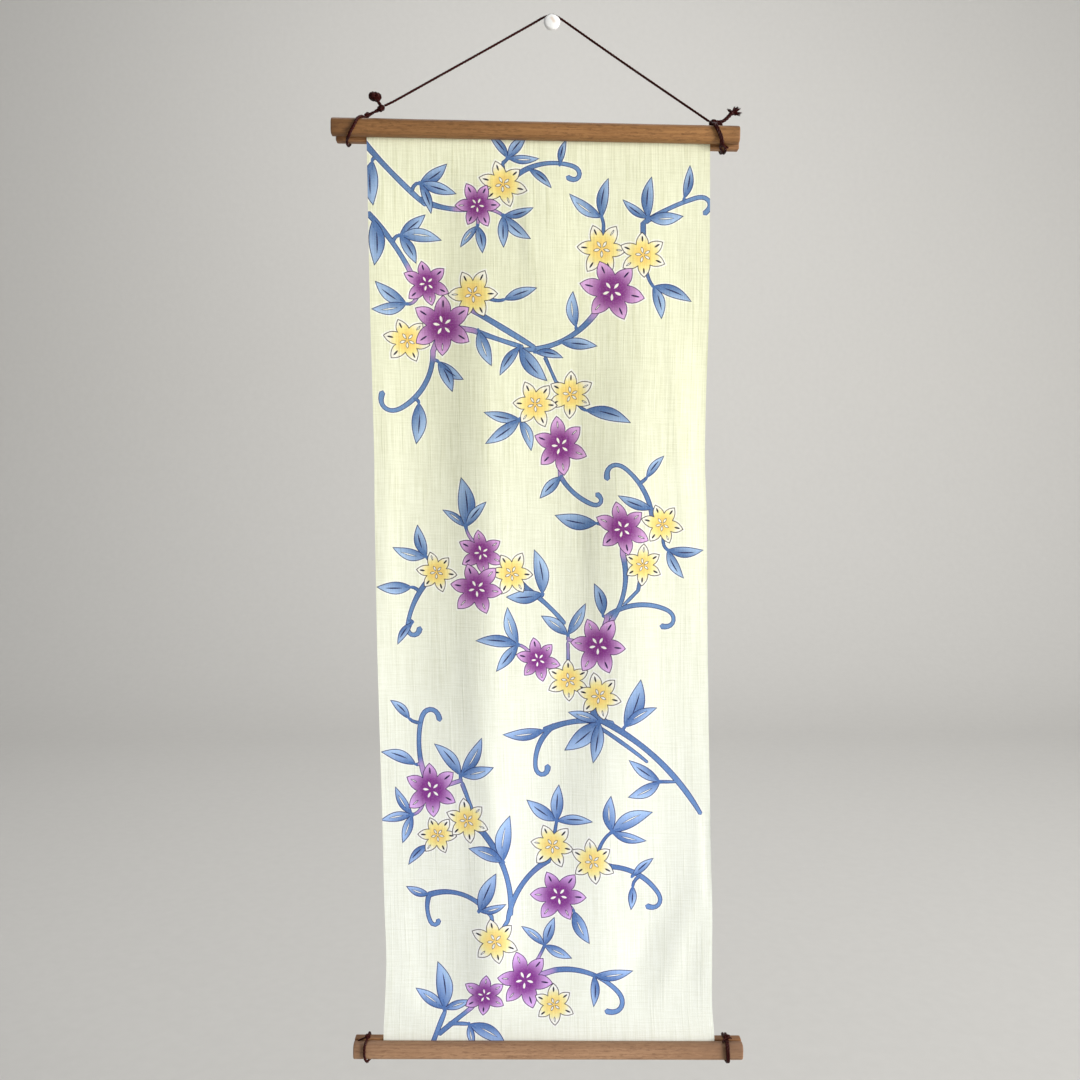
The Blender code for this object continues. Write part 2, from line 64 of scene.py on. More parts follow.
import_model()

# %% [markdown]
# ## Camera
#
# The camera comes first, since everything is judged through it. It could be set by eye, but the
# photograph gives it: a 330 mm wide towel fits the picture's four corners from just over a metre
# away, through a lens of about 36 mm, turned a little to the right and tipped a little down. The
# plain view shows colours as they are, where Blender's filmic one would grey the bright cotton.

# %% Camera
camera_lens = bpy.data.cameras.new("view_camera")
camera_lens.sensor_width = 36.0
camera_lens.lens = 36.2
camera_lens.clip_start = 0.02
camera = bpy.data.objects.new("view_camera", camera_lens)
camera.location = (-0.03427, -1.07164, -0.45057)
camera.rotation_euler = (math.radians(87.43), 0.0, math.radians(-1.229))
bpy.context.scene.collection.objects.link(camera)
bpy.context.scene.camera = camera
bpy.context.scene.view_settings.view_transform = "Standard"
print("camera at", tuple(camera.location), "lens", camera_lens.lens)

# %% [markdown]
# ## Shader maths
#
# A finish is a small graph of nodes. Wiring nodes by hand is long to read, so one class wraps an
# output socket and turns plain sums into Math nodes. A second class holds one material and adds any
# other node: its settings are set first, and then the values or links of its sockets.


# %% Sockets as numbers
class Wire:
    """An output socket that can be added, taken away, multiplied, divided and raised."""

    def __init__(self, finish, socket):
        self.finish = finish
        self.socket = socket

    def __add__(self, other):
        return self.finish.sum("ADD", self, other)

    __radd__ = __add__

    def __sub__(self, other):
        return self.finish.sum("SUBTRACT", self, other)

    def __rsub__(self, other):
        return self.finish.sum("SUBTRACT", other, self)

    def __mul__(self, other):
        return self.finish.sum("MULTIPLY", self, other)

    __rmul__ = __mul__

    def __truediv__(self, other):
        return self.finish.sum("DIVIDE", self, other)

    def __pow__(self, other):
        return self.finish.sum("POWER", self, other)

    def between(self, low, high):
        """Rises softly from 0 at low to 1 at high."""
        return self.finish.add(
            "ShaderNodeMapRange",
            {"interpolation_type": "SMOOTHSTEP"},
            {"Value": self, "From Min": low, "From Max": high},
        )


class Finish:
    """One material: a Principled shader and the nodes that feed it."""

    def __init__(self, name, **constants):
        self.material = bpy.data.materials.new(name)
        self.material.use_nodes = True
        self.tree = self.material.node_tree
        self.shader = self.tree.nodes["Principled BSDF"]
        for socket, value in constants.items():
            self.shader.inputs[socket.replace("_", " ")].default_value = value

    def add(self, kind, settings=None, sockets=None, output=0):
        """Adds a node of this kind and gives one of its outputs."""
        node = self.tree.nodes.new(kind)
        for name, value in (settings or {}).items():
            setattr(node, name, value)
        for name, value in (sockets or {}).items():
            if isinstance(value, Wire):
                self.tree.links.new(value.socket, node.inputs[name])
            else:
                node.inputs[name].default_value = value
        return Wire(self, node.outputs[output])

    def sum(self, operation, first, second):
        """One Math node on two values."""
        return self.add("ShaderNodeMath", {"operation": operation}, {0: first, 1: second})

    def blend(self, share, first, second, how="MIX"):
        """Mixes two colours."""
        settings = {"data_type": "RGBA", "blend_type": how}
        return self.add("ShaderNodeMix", settings, {0: share, 6: first, 7: second}, 2)

    def attribute(self, name, output="Vector"):
        """Reads a value that is kept on the mesh itself."""
        return self.add("ShaderNodeAttribute", {"attribute_name": name}, {}, output)

    def stretched(self, place, scale, offset=(0.0, 0.0, 0.0)):
        """Scales a place, so that a pattern made from it is drawn out."""
        sockets = {"Vector": place, "Scale": scale, "Location": offset}
        return self.add("ShaderNodeMapping", {}, sockets)

    def noise(self, place, scale=1.0, detail=3.0, roughness=0.5):
        """Soft random values from 0 to 1."""
        sockets = {"Vector": place, "Scale": scale, "Detail": detail, "Roughness": roughness}
        return self.add("ShaderNodeTexNoise", {}, sockets)

    def feed(self, name, value):
        """Links a value or colour to a socket of the shader."""
        self.tree.links.new(value.socket, self.shader.inputs[name])

    def emboss(self, height, strength, distance):
        """Turns a height into a bump on the surface."""
        sockets = {"Height": height, "Strength": strength, "Distance": distance}
        self.feed("Normal", self.add("ShaderNodeBump", {}, sockets))


def paint(red, green, blue):
    """A colour as a picture shows it, 0 to 255, turned into the light it sends back."""
    shares = (value / 255.0 for value in (red, green, blue))
    return (*(s / 12.92 if s <= 0.04045 else ((s + 0.055) / 1.055) ** 2.4 for s in shares), 1.0)


print("a mid grey of 128 sends back", round(paint(128, 128, 128)[0], 3))

# %% [markdown]
# ## Twisted cord
#
# The cord is three plies of dark maroon yarn twisted round each other, which is why its edge looks
# beaded. A plain tube with a striped colour would lose that edge, so each ply is its own tube that
# winds round the cord's route. Routes are tables of points in millimetres, and a smooth curve is
# laid through them.


# %% Routes and tubes
def smooth_route(points, spacing):
    """Even points on a smooth curve through a route given in millimetres, as metres."""
    stops = 0.001 * np.array(points, float)
    ends = np.vstack((2 * stops[0] - stops[1], stops, 2 * stops[-1] - stops[-2]))
    share = np.linspace(0.0, 1.0, 24, endpoint=False)[:, None]
    pieces = []
    for before, start, end, after in zip(ends, ends[1:], ends[2:], ends[3:]):
        bend = 2 * before - 5 * start + 4 * end - after
        twist = 3 * start - before - 3 * end + after
        curve = 2 * start + share * (end - before) + share**2 * bend + share**3 * twist
        pieces.append(0.5 * curve)
    dense = np.vstack(pieces + [stops[-1:]])
    walked = distances(dense)
    even = np.linspace(0.0, walked[-1], max(3, round(walked[-1] / spacing)) + 1)
    return np.column_stack([np.interp(even, walked, dense[:, axis]) for axis in range(3)])


def distances(path):
    """How far along a path each of its points is."""
    steps = np.linalg.norm(np.diff(path, axis=0), axis=1)
    return np.concatenate(([0.0], np.cumsum(steps)))


def ramp(value, low, high):
    """Rises smoothly from 0 at low to 1 at high."""
    step = np.clip((value - low) / (high - low), 0.0, 1.0)
    return step * step * (3.0 - 2.0 * step)


def carried_frames(path):
    """Two side vectors at each point, carried along a path without twisting."""
    ahead = np.gradient(path, axis=0)
    ahead /= np.linalg.norm(ahead, axis=1)[:, None]
    level = (0.0, 1.0, 0.0) if abs(ahead[0][1]) < 0.9 else (1.0, 0.0, 0.0)
    sides = [np.cross(ahead[0], level)]
    for direction in ahead:
        side = sides[-1] - direction * np.dot(sides[-1], direction)
        sides.append(side / np.linalg.norm(side))
    sides = np.array(sides[1:])
    return sides, np.cross(ahead, sides)


def add_tubes(name, tubes, steps, finish):
    """Makes one mesh of round tubes, each given by its path and its radius at each point."""
    verts, faces, wrap = [], [], []
    for path, radii in tubes:
        base = len(verts)
        side, lift = carried_frames(path)
        walked = distances(path)
        angles = 2.0 * math.pi * np.arange(steps) / steps
        ring = np.cos(angles)[None, :, None] * side[:, None] + np.sin(angles)[None, :, None] * lift[:, None]
        verts += (path[:, None] + radii[:, None, None] * ring).reshape(-1, 3).tolist()
        verts += [path[0].tolist(), path[-1].tolist()]
        last = len(path) - 1
        for row in range(last):
            here, there = base + row * steps, base + (row + 1) * steps
            for step in range(steps):
                after = (step + 1) % steps
                faces.append((here + step, here + after, there + after, there + step))
                low, high = step / steps, (step + 1) / steps
                wrap += [(walked[row], low), (walked[row], high), (walked[row + 1], high), (walked[row + 1], low)]
        first_cap, last_cap = base + (last + 1) * steps, base + (last + 1) * steps + 1
        for step in range(steps):
            after = (step + 1) % steps
            faces.append((base + after, base + step, first_cap))
            faces.append((base + last * steps + step, base + last * steps + after, last_cap))
            wrap += [(walked[0], step / steps)] * 3 + [(walked[-1], step / steps)] * 3
    mesh = bpy.data.meshes.new(name)
    mesh.from_pydata(verts, [], faces)
    mesh.uv_layers.new(name="wrap").data.foreach_set("uv", np.array(wrap).ravel())
    mesh.shade_smooth()
    mesh.materials.append(finish.material)
    piece = bpy.data.objects.new(name, mesh)
    bpy.context.scene.collection.objects.link(piece)
    return piece


def twisted(path, radius, pitch=0.0096, plies=3):
    """The plies of a cord, each as a tube that winds round the path. The radius may change on the way."""
    side, lift = carried_frames(path)
    walked = distances(path)
    radius = np.broadcast_to(radius, len(path))
    tubes = []
    for ply in range(plies):
        angle = 2.0 * math.pi * (walked / pitch + ply / plies)
        reach = 0.48 * radius[:, None] * (np.cos(angle)[:, None] * side + np.sin(angle)[:, None] * lift)
        radii = 0.58 * radius
        radii[0], radii[-1] = 0.6 * radii[0], 0.6 * radii[-1]
        tubes.append((path + reach, radii))
    return tubes


def laid_cord(name, path, radius, finish, pitch=0.0096, plies=3):
    """Twists plies round a path, as a cord is laid."""
    return add_tubes(name, twisted(path, radius, pitch, plies), 8, finish)


def hand_over(piece, slot, *nodes):
    """Puts a finished piece into the shared frame, in place of the solids that it stands for."""
    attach(piece, "root")
    if nodes:
        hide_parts(*nodes)
    print(piece.name, "faces", len(piece.data.polygons), "for", ", ".join(nodes) or "no solid")
    return piece


# %% [markdown]
# The yarn is a smooth, slightly waxed maroon that is nearly black out of the light. Its fibres run
# slantwise round each ply, so the bump is a fine band pattern on the tube's own length and girth. A
# few lighter fibres catch the light, and the knots glint where the plies turn over.


# %% Maroon cord finish
def make_cord_finish():
    """Dark maroon twisted yarn with a waxy glint."""
    finish = Finish("maroon_cord", Specular_IOR_Level=0.12)
    wrap = finish.add("ShaderNodeUVMap", {"uv_map": "wrap"})
    parts = finish.add("ShaderNodeSeparateXYZ", {}, {0: wrap})
    along = parts
    around = Wire(finish, parts.socket.node.outputs[1])
    slant = finish.sum("SINE", 2.0 * math.pi * (around * 5.0 + along * 900.0), 0.0) * 0.5 + 0.5
    fuzz = finish.noise(finish.stretched(wrap, (2600.0, 9.0, 1.0)), 1.0, 4.0, 0.6)
    light = slant * 0.5 + fuzz * 0.6
    colour = finish.blend(light.between(0.25, 0.95), paint(9, 2, 2), paint(76, 17, 12))
    finish.feed("Base Color", colour)
    finish.feed("Roughness", 0.18 + fuzz * 0.20)
    finish.emboss(slant * 0.6 + fuzz * 0.5, 0.5, 0.00014)
    return finish


cord_finish = make_cord_finish()
print("finish", cord_finish.material.name)

# %% [markdown]
# ## Hanging cord
#
# This cord leaves the knot at the left bar tie, climbs to the pin, bends over its barrel and drops
# to the knot at the right. It hangs taut under the bars' weight, so its two halves are nearly
# straight. It is the only free cord.

# %% Hanging cord
CORD_RADIUS = 0.00115
PIN_BARREL_RADIUS = 0.0068
OVER_PIN = 1000.0 * (PIN_BARREL_RADIUS + 0.0005 + CORD_RADIUS)
HANGING_CORD_LEFT = (
    (-160.3, -13.2, -82.6),
    (-152.8, -12.8, -78.9),
    (-145.5, -12.4, -74.8),
    (-107.4, -10.0, -52.6),
    (-69.1, -7.5, -30.3),
    (-21.0, -4.2, -2.0),
    (-9.7, -3.2, 5.0),
)
HANGING_CORD_RIGHT = (
    (9.4, -3.2, 4.3),
    (22.4, -4.4, -5.1),
    (46.4, -6.3, -22.3),
    (84.8, -9.5, -49.5),
    (142.2, -14.2, -89.5),
    (150.9, -14.8, -95.5),
)
over_the_pin = [
    (OVER_PIN * math.cos(math.radians(turn)), -2.6, OVER_PIN * math.sin(math.radians(turn)))
    for turn in (118.0, 104.0, 90.0, 76.0, 62.0)
]
hanging_path = smooth_route((*HANGING_CORD_LEFT, *over_the_pin, *HANGING_CORD_RIGHT), 0.0007)
hanging_cord = laid_cord("hanging_twisted_cord", hanging_path, CORD_RADIUS, cord_finish)
hand_over(hanging_cord, "maroon_cord", "hanging_cord")

# %% [markdown]
# ## Ties round the bars
#
# The same cord is wound round each pair of bars near both ends: one turn on the left, two on the
# right. Each turn runs over the round front, under the bars and up behind the slat, and both its
# ends go into a knot on top. The routes are the solids' own, moved by up to three millimetres where
# the photograph shows two turns as one dark band. The top right tie also leaves a short cut end.

# %% Turns round the bars
TIE_RADIUS = 0.00128
LEFT_TURN_FULLER = 0.22
TOP_LEFT_TURN = (
    (-177.2, -13.2, -92.0),
    (-178.9, -14.4, -93.7),
    (-181.8, -18.6, -94.5),
    (-184.4, -22.6, -97.4),
    (-186.2, -24.6, -101.4),
    (-189.2, -24.95, -107.2),
    (-191.4, -24.8, -111.2),
    (-193.2, -23.2, -114.2),
    (-194.8, -19.0, -115.0),
    (-195.8, -15.0, -115.4),
    (-196.4, -12.5, -117.2),
    (-196.6, -8.6, -117.9),
    (-196.2, -4.2, -117.8),
    (-195.4, -1.5, -116.4),
    (-194.2, -0.9, -113.2),
    (-189.8, -0.9, -107.0),
    (-184.8, -0.9, -100.0),
    (-181.6, -2.4, -95.6),
    (-179.8, -6.0, -94.9),
    (-178.6, -10.6, -94.0),
    (-177.0, -12.4, -92.2),
)
TOP_RIGHT_TURN_LEFT = (
    (153.9, -16.2, -97.8),
    (153.6, -18.3, -98.7),
    (154.6, -21.4, -99.7),
    (155.6, -24.5, -103.6),
    (157.6, -24.95, -107.6),
    (159.4, -24.95, -111.6),
    (160.8, -24.2, -116.4),
    (161.2, -20.4, -119.6),
    (161.4, -15.4, -119.7),
    (163.4, -12.4, -121.6),
    (164.6, -7.8, -122.4),
    (164.6, -2.8, -122.0),
    (163.4, -0.9, -118.6),
    (159.0, -0.9, -108.0),
    (155.0, -1.2, -101.4),
    (153.3, -4.6, -99.3),
    (152.9, -9., -99.0),
    (152.8, -12., -98.8),
    (153.2, -13.6, -97.8),
)
TOP_RIGHT_TURN_RIGHT = (
    (155.2, -16.4, -97.9),
    (156.2, -17.6, -98.9),
    (156.6, -21.4, -99.8),
    (157.4, -24.5, -103.8),
    (159.3, -24.95, -107.9),
    (161.0, -24.95, -111.8),
    (162.3, -24.2, -116.5),
    (163.6, -20.4, -119.8),
    (166.2, -15.4, -119.9),
    (167.4, -12.4, -121.8),
    (167.4, -7.8, -122.5),
    (167.2, -2.8, -122.1),
    (166.2, -0.9, -118.6),
    (161.8, -0.9, -108.0),
    (158.0, -1.2, -101.5),
    (156.4, -4.6, -99.4),
    (156.0, -9., -99.0),
    (155.8, -12.4, -99.0),
    (155.0, -13.8, -97.8),
)
BOTTOM_LEFT_TURN = (
    (-182.4, -14.2, -991.9),
    (-182.9, -15.6, -992.8),
    (-183.3, -19.6, -993.0),
    (-184.1, -23.2, -995.4),
    (-184.5, -24.95, -999.6),
    (-184.5, -24.95, -1004.4),
    (-183.7, -24.4, -1009.0),
    (-182.3, -21.6, -1012.6),
    (-181.2, -17.4, -1013.0),
    (-180.2, -13., -1013.7),
    (-179.8, -9., -1014.6),
    (-179.8, -4.4, -1014.6),
    (-179.9, -1.6, -1012.8),
    (-180.1, -0.9, -1010.6),
    (-181.2, -0.9, -1002.0),
    (-181.8, -0.9, -996.4),
    (-182.0, -1.6, -993.4),
    (-182.1, -4.2, -992.2),
    (-182.2, -7.2, -992.3),
    (-182.2, -10.4, -992.2),
    (-182.2, -11.8, -991.8),
)
BOTTOM_RIGHT_TURN_LEFT = (
    (173.6, -14.6, -996.4),
    (173.0, -15.9, -997.8),
    (173.6, -20., -997.9),
    (173.4, -23.4, -1000.3),
    (173.4, -24.95, -1004.6),
    (173.6, -24.95, -1009.2),
    (173.9, -23.9, -1014.2),
    (174.2, -20.4, -1017.4),
    (173.6, -15.6, -1017.8),
    (173.8, -12.2, -1018.8),
    (173.9, -8.6, -1019.4),
    (173.9, -4.2, -1019.4),
    (173.8, -1.6, -1017.6),
    (173.7, -0.9, -1015.4),
    (173.2, -0.9, -1006.0),
    (173.0, -0.9, -1001.2),
    (172.9, -1.6, -998.2),
    (172.9, -4.2, -997.0),
    (172.9, -7.2, -997.1),
    (173.0, -10.2, -997.1),
    (173.5, -11.9, -996.0),
)
BOTTOM_RIGHT_TURN_RIGHT = (
    (175.1, -14.5, -996.4),
    (175.8, -15.7, -997.9),
    (175.0, -20., -998.0),
    (174.9, -23.4, -1000.4),
    (174.9, -24.95, -1004.7),
    (175.1, -24.95, -1009.3),
    (175.3, -23.9, -1014.3),
    (175.6, -20.4, -1017.5),
    (176.5, -15.6, -1017.9),
    (176.6, -12.2, -1018.9),
    (176.7, -8.6, -1019.5),
    (176.7, -4.2, -1019.5),
    (176.6, -1.6, -1017.7),
    (176.6, -0.9, -1015.5),
    (176.2, -0.9, -1006.0),
    (176.0, -0.9, -1001.3),
    (175.9, -1.6, -998.3),
    (175.9, -4.2, -997.1),
    (175.8, -7.2, -997.2),
    (175.7, -10.3, -997.2),
    (175.1, -11.9, -996.0),
)
CUT_END = ((163.2, -17.6, -118.6), (164.4, -14.6, -117.6), (166.8, -13.0, -118.2), (170.2, -12.8, -120.0))
CUT_END_RING = ((162.6, -18.8, -116.4), (161.6, -18.4, -118.2), (162.8, -17.4, -119.4), (164.2, -17.4, -117.8))
for turn_name, turn_route, turn_node in (
    ("top_left_turn", TOP_LEFT_TURN, "top_left_loop"),
    ("top_right_turn_left", TOP_RIGHT_TURN_LEFT, "top_right_loop_left"),
    ("top_right_turn_right", TOP_RIGHT_TURN_RIGHT, "top_right_loop_right"),
    ("bottom_left_turn", BOTTOM_LEFT_TURN, "bottom_left_loop"),
    ("bottom_right_turn_left", BOTTOM_RIGHT_TURN_LEFT, "bottom_right_loop_left"),
    ("bottom_right_turn_right", BOTTOM_RIGHT_TURN_RIGHT, "bottom_right_loop_right"),
):
    turn_path = smooth_route(turn_route, 0.0007)
    fuller = LEFT_TURN_FULLER * ramp(-turn_path[:, 1], 0.013, 0.021) if turn_name == "top_left_turn" else 0.0
    plies = twisted(turn_path, TIE_RADIUS * (1.0 + fuller))
    if turn_name == "top_right_turn_right":
        for extra in (CUT_END, CUT_END_RING):
            plies += twisted(smooth_route(extra, 0.0005), 0.00092, 0.006)
    hand_over(add_tubes(turn_name, plies, 8, cord_finish), "maroon_cord", turn_node)

# %% [markdown]
# The loose ends differ: a doubled link joins the left ring to the hanging cord, a doubled tail ends
# in a ball knot, and the right tail stands out level and then turns up to its frayed end. The thin
# ends at the bottom are single plies that were left when the cord was cut.

# %% Links, tails and stubs
# name, solid, radius in millimetres, route
LOOSE_ENDS = (
    (
        "left_link_above",
        "left_link_upper",
        1.05,
        ((-176.4, -13.4, -91.3), (-171.2, -14.2, -89.2), (-167.0, -13.3, -87.9), (-163.2, -12.5, -85.3)),
    ),
    (
        "left_link_below",
        "left_link_lower",
        1.05,
        ((-175.8, -13.4, -92.5), (-171.2, -12.6, -89.2), (-167.6, -13.3, -86.6), (-163.2, -13.9, -85.3)),
    ),
    (
        "right_level_tail",
        "right_tail",
        1.5,
        (
            (155.4, -14.8, -96.2),
            (159.4, -15.0, -96.0),
            (163.4, -14.8, -95.6),
            (166.9, -14.4, -93.4),
            (170.4, -14.2, -89.9),
            (173.4, -14.0, -86.6),
        ),
    ),
    (
        "right_short_stub",
        "right_stub",
        1.15,
        ((155.8, -15.2, -97.8), (160.4, -15.2, -98.2), (163.8, -14.8, -98.8)),
    ),
    (
        "bottom_left_thin_tail",
        "bottom_left_tail",
        0.9,
        ((-183.6, -13.4, -991.6), (-186.6, -14.0, -992.7), (-189.4, -14.4, -993.6), (-192.0, -14.8, -994.9)),
    ),
    (
        "bottom_right_thin_tail",
        "bottom_right_tail",
        0.9,
        ((174.6, -14.6, -995.6), (172.6, -15.8, -996.0), (170.9, -17.4, -997.3), (170.0, -18.8, -998.5)),
    ),
    (
        "bottom_right_thin_stub",
        "bottom_right_stub",
        0.8,
        ((176.2, -13.2, -995.7), (178.4, -13.8, -996.2), (180.0, -14.2, -996.9)),
    ),
)
TAIL_WIDENS = {"right_level_tail": 1.32}
for end_name, end_node, end_radius, end_route in LOOSE_ENDS:
    end_path = smooth_route(end_route, 0.0005)
    radii = 0.001 * end_radius * np.linspace(1.0, TAIL_WIDENS.get(end_name, 1.0), len(end_path))
    end = laid_cord(end_name, end_path, radii, cord_finish, 0.0062 * end_radius)
    hand_over(end, "maroon_cord", end_node)

DOUBLED_TAIL = (
    ((-163.4, -13.4, -84.4), (-163.8, -14.4, -82.0), (-165.6, -14.9, -79.6), (-167.8, -14.6, -77.4)),
    ((-162.6, -13.0, -83.6), (-165.2, -13.6, -81.0), (-166.6, -14.0, -78.8), (-169.0, -14.2, -76.4)),
)
tail_tubes = [(smooth_route(route, 0.0006), None) for route in DOUBLED_TAIL]
tail_tubes = [(path, np.full(len(path), 0.00115)) for path, _ in tail_tubes]
hand_over(
    add_tubes("left_doubled_tail", tail_tubes, 10, cord_finish), "maroon_cord", "left_tail"
)

# %% [markdown]
# A knot is the cord drawn up on itself. A lump would do from afar, but close up the turns and the
# gaps between them show. Here the cord is woven round a small ball: it runs round several times
# while it swings from side to side, over and under itself, which is how a worked knot looks.


# %% Knots
def knot_path(centre, half_sizes, degrees, radius, rounds=2, swings=3, steps=170):
    """A cord woven round a ball that is squeezed to a knot's size and turned about Y, in metres."""
    t = np.linspace(0.0, 2.0 * math.pi * rounds - 0.12, steps)
    swing = 0.95 * np.sin(swings * t / rounds)
    lift = 1.0 + 0.16 * np.cos(2.0 * swings * t / rounds + 0.6)
    across, depth, up = np.cos(swing) * np.cos(t), np.cos(swing) * np.sin(t), np.sin(swing)
    inner = [max(0.45 * size, size - 1000.0 * radius) for size in half_sizes]
    turn = math.radians(degrees)
    x = lift * (across * inner[0] * math.cos(turn) - up * inner[2] * math.sin(turn))
    z = lift * (across * inner[0] * math.sin(turn) + up * inner[2] * math.cos(turn))
    return 0.001 * (np.column_stack((x, lift * depth * inner[1], z)) + np.array(centre))


# name, solid, centre, half sizes, turn in degrees, cord radius, rounds, swings
KNOTS = (
    ("left_ring", "left_ring_knot", (-176.8, -13.0, -91.4), (2.9, 2.7, 2.9), 30.0, 1.15, 2, 3),
    ("left_hitch", "left_cord_knot", (-163.4, -13.2, -84.8), (3.6, 3.2, 3.5), 30.0, 1.2, 3, 4),
    ("left_ball", "left_ball_knot", (-169.0, -14.5, -74.5), (5.9, 5.0, 5.0), -10.0, 1.35, 4, 7),
    ("right_hitch", "right_cord_knot", (154.6, -15.4, -96.9), (4.0, 3.5, 3.3), 20.0, 1.35, 3, 4),
    ("bottom_left_hitch", "bottom_left_knot", (-182.8, -13.0, -991.1), (2.9, 2.6, 2.6), 0.0, 1.1, 2, 3),
    ("bottom_right_hitch", "bottom_right_knot", (175.3, -13.0, -995.6), (3.6, 2.7, 2.5), 0.0, 1.1, 3, 4),
)
for knot_name, knot_node, knot_centre, knot_size, knot_turn, knot_cord, rounds, swings in KNOTS:
    path = knot_path(knot_centre, knot_size, knot_turn, 0.001 * knot_cord, rounds, swings)
    knot = laid_cord(knot_name, path, 0.001 * knot_cord, cord_finish, 0.0055)
    hand_over(knot, "maroon_cord", knot_node)

# %% [markdown]
# The right tail ends in a frayed tuft: the plies are combed open into fine threads that gather in a
# few locks. Each thread is a thin tube that leaves the small head and bends towards its lock's tip.


# %% Frayed tuft
def make_tuft():
    """Threads that fan out of the tail's end in seven locks."""
    head = np.array((173.2, -14.0, -87.0))
    locks = (
        (175.7, -14.2, -82.0),
        (177.9, -13.2, -82.0),
        (179.9, -14.8, -83.8),
        (181.5, -13.8, -86.8),
        (179.5, -14.9, -88.8),
        (176.6, -13.3, -88.9),
        (169.2, -14.9, -84.4),
    )
    tubes = []
    for number, tip in enumerate(locks):
        tip = np.array(tip)
        for thread in range(12):
            angle = 2.4 * thread + number
            fan = np.array((math.cos(angle), 0.9 * math.sin(1.7 * angle), math.sin(angle)))
            spread = 0.21 * math.sqrt(thread) * fan
            reach = 0.84 + 0.16 * math.sin(3.1 * thread + 1.3 * number)
            end = head + 1.18 * reach * (tip - head) + 1.5 * spread
            start = head + 0.9 * spread - 0.12 * (tip - head)
            middle = 0.5 * (start + end) + 0.6 * spread + np.array((0.5, 0.0, 0.3 - 0.1 * number))
            t = np.linspace(0.0, 1.0, 9)[:, None]
            path = (1 - t) ** 2 * start + 2 * t * (1 - t) * middle + t**2 * end
            thickness = 0.00052 if thread < 4 else 0.00034
            tubes.append((0.001 * path, thickness * (1.0 - 0.45 * t[:, 0])))
    binding = knot_path(head - np.array((0.4, 0.0, 0.5)), (2.5, 2.4, 2.5), 40.0, 0.0009, 2, 3, 90)
    tubes.append((binding, np.full(len(binding), 0.0009)))
    return add_tubes("right_tuft", tubes, 5, cord_finish)


hand_over(make_tuft(), "maroon_cord", "right_tassel")

# %% [markdown]
# ## Clamp bars
#
# Each clamp is a round-fronted batten before the cloth and a flatter slat behind it. They are
# planed softwood, stained brown, and their edges are eased by hand, so no line on them is quite
# straight. The bar is a section swept along its length, with a little unevenness added. Each point
# also keeps its place in the wood's own grain, so one solid grain runs through faces and ends.

# %% Bars
BAR_TILT = math.radians(0.776)
BATTEN = {"height": 16.5, "depth": 10.0, "back": -13.2, "front_radius": 5.5}
SLAT = {"height": 18.5, "depth": 9.0, "back": -2.6, "front_radius": 1.5}
EASED = 1.5


def bar_outline(shape):
    """Points (y, z) in millimetres round a bar's section, closely spaced."""
    half, back, front_radius = 0.5 * shape["height"], shape["back"], shape["front_radius"]
    front = back - shape["depth"]
    corners = (
        (front + front_radius, half - front_radius, front_radius, 90.0),
        (front + front_radius, front_radius - half, front_radius, 180.0),
        (back - EASED, EASED - half, EASED, 270.0),
        (back - EASED, half - EASED, EASED, 0.0),
    )
    outline = []
    for centre_y, centre_z, radius, start in corners:
        for step in range(9):
            angle = math.radians(start + 90.0 * step / 8)
            outline.append((centre_y + radius * math.cos(angle), centre_z + radius * math.sin(angle)))
    dense = []
    for here, there in zip(outline, outline[1:] + outline[:1]):
        gap = math.dist(here, there)
        cells = max(1, round(gap / 1.6))
        for cell in range(cells):
            share = cell / cells
            dense.append([a + share * (b - a) for a, b in zip(here, there)])
    return np.array(dense)


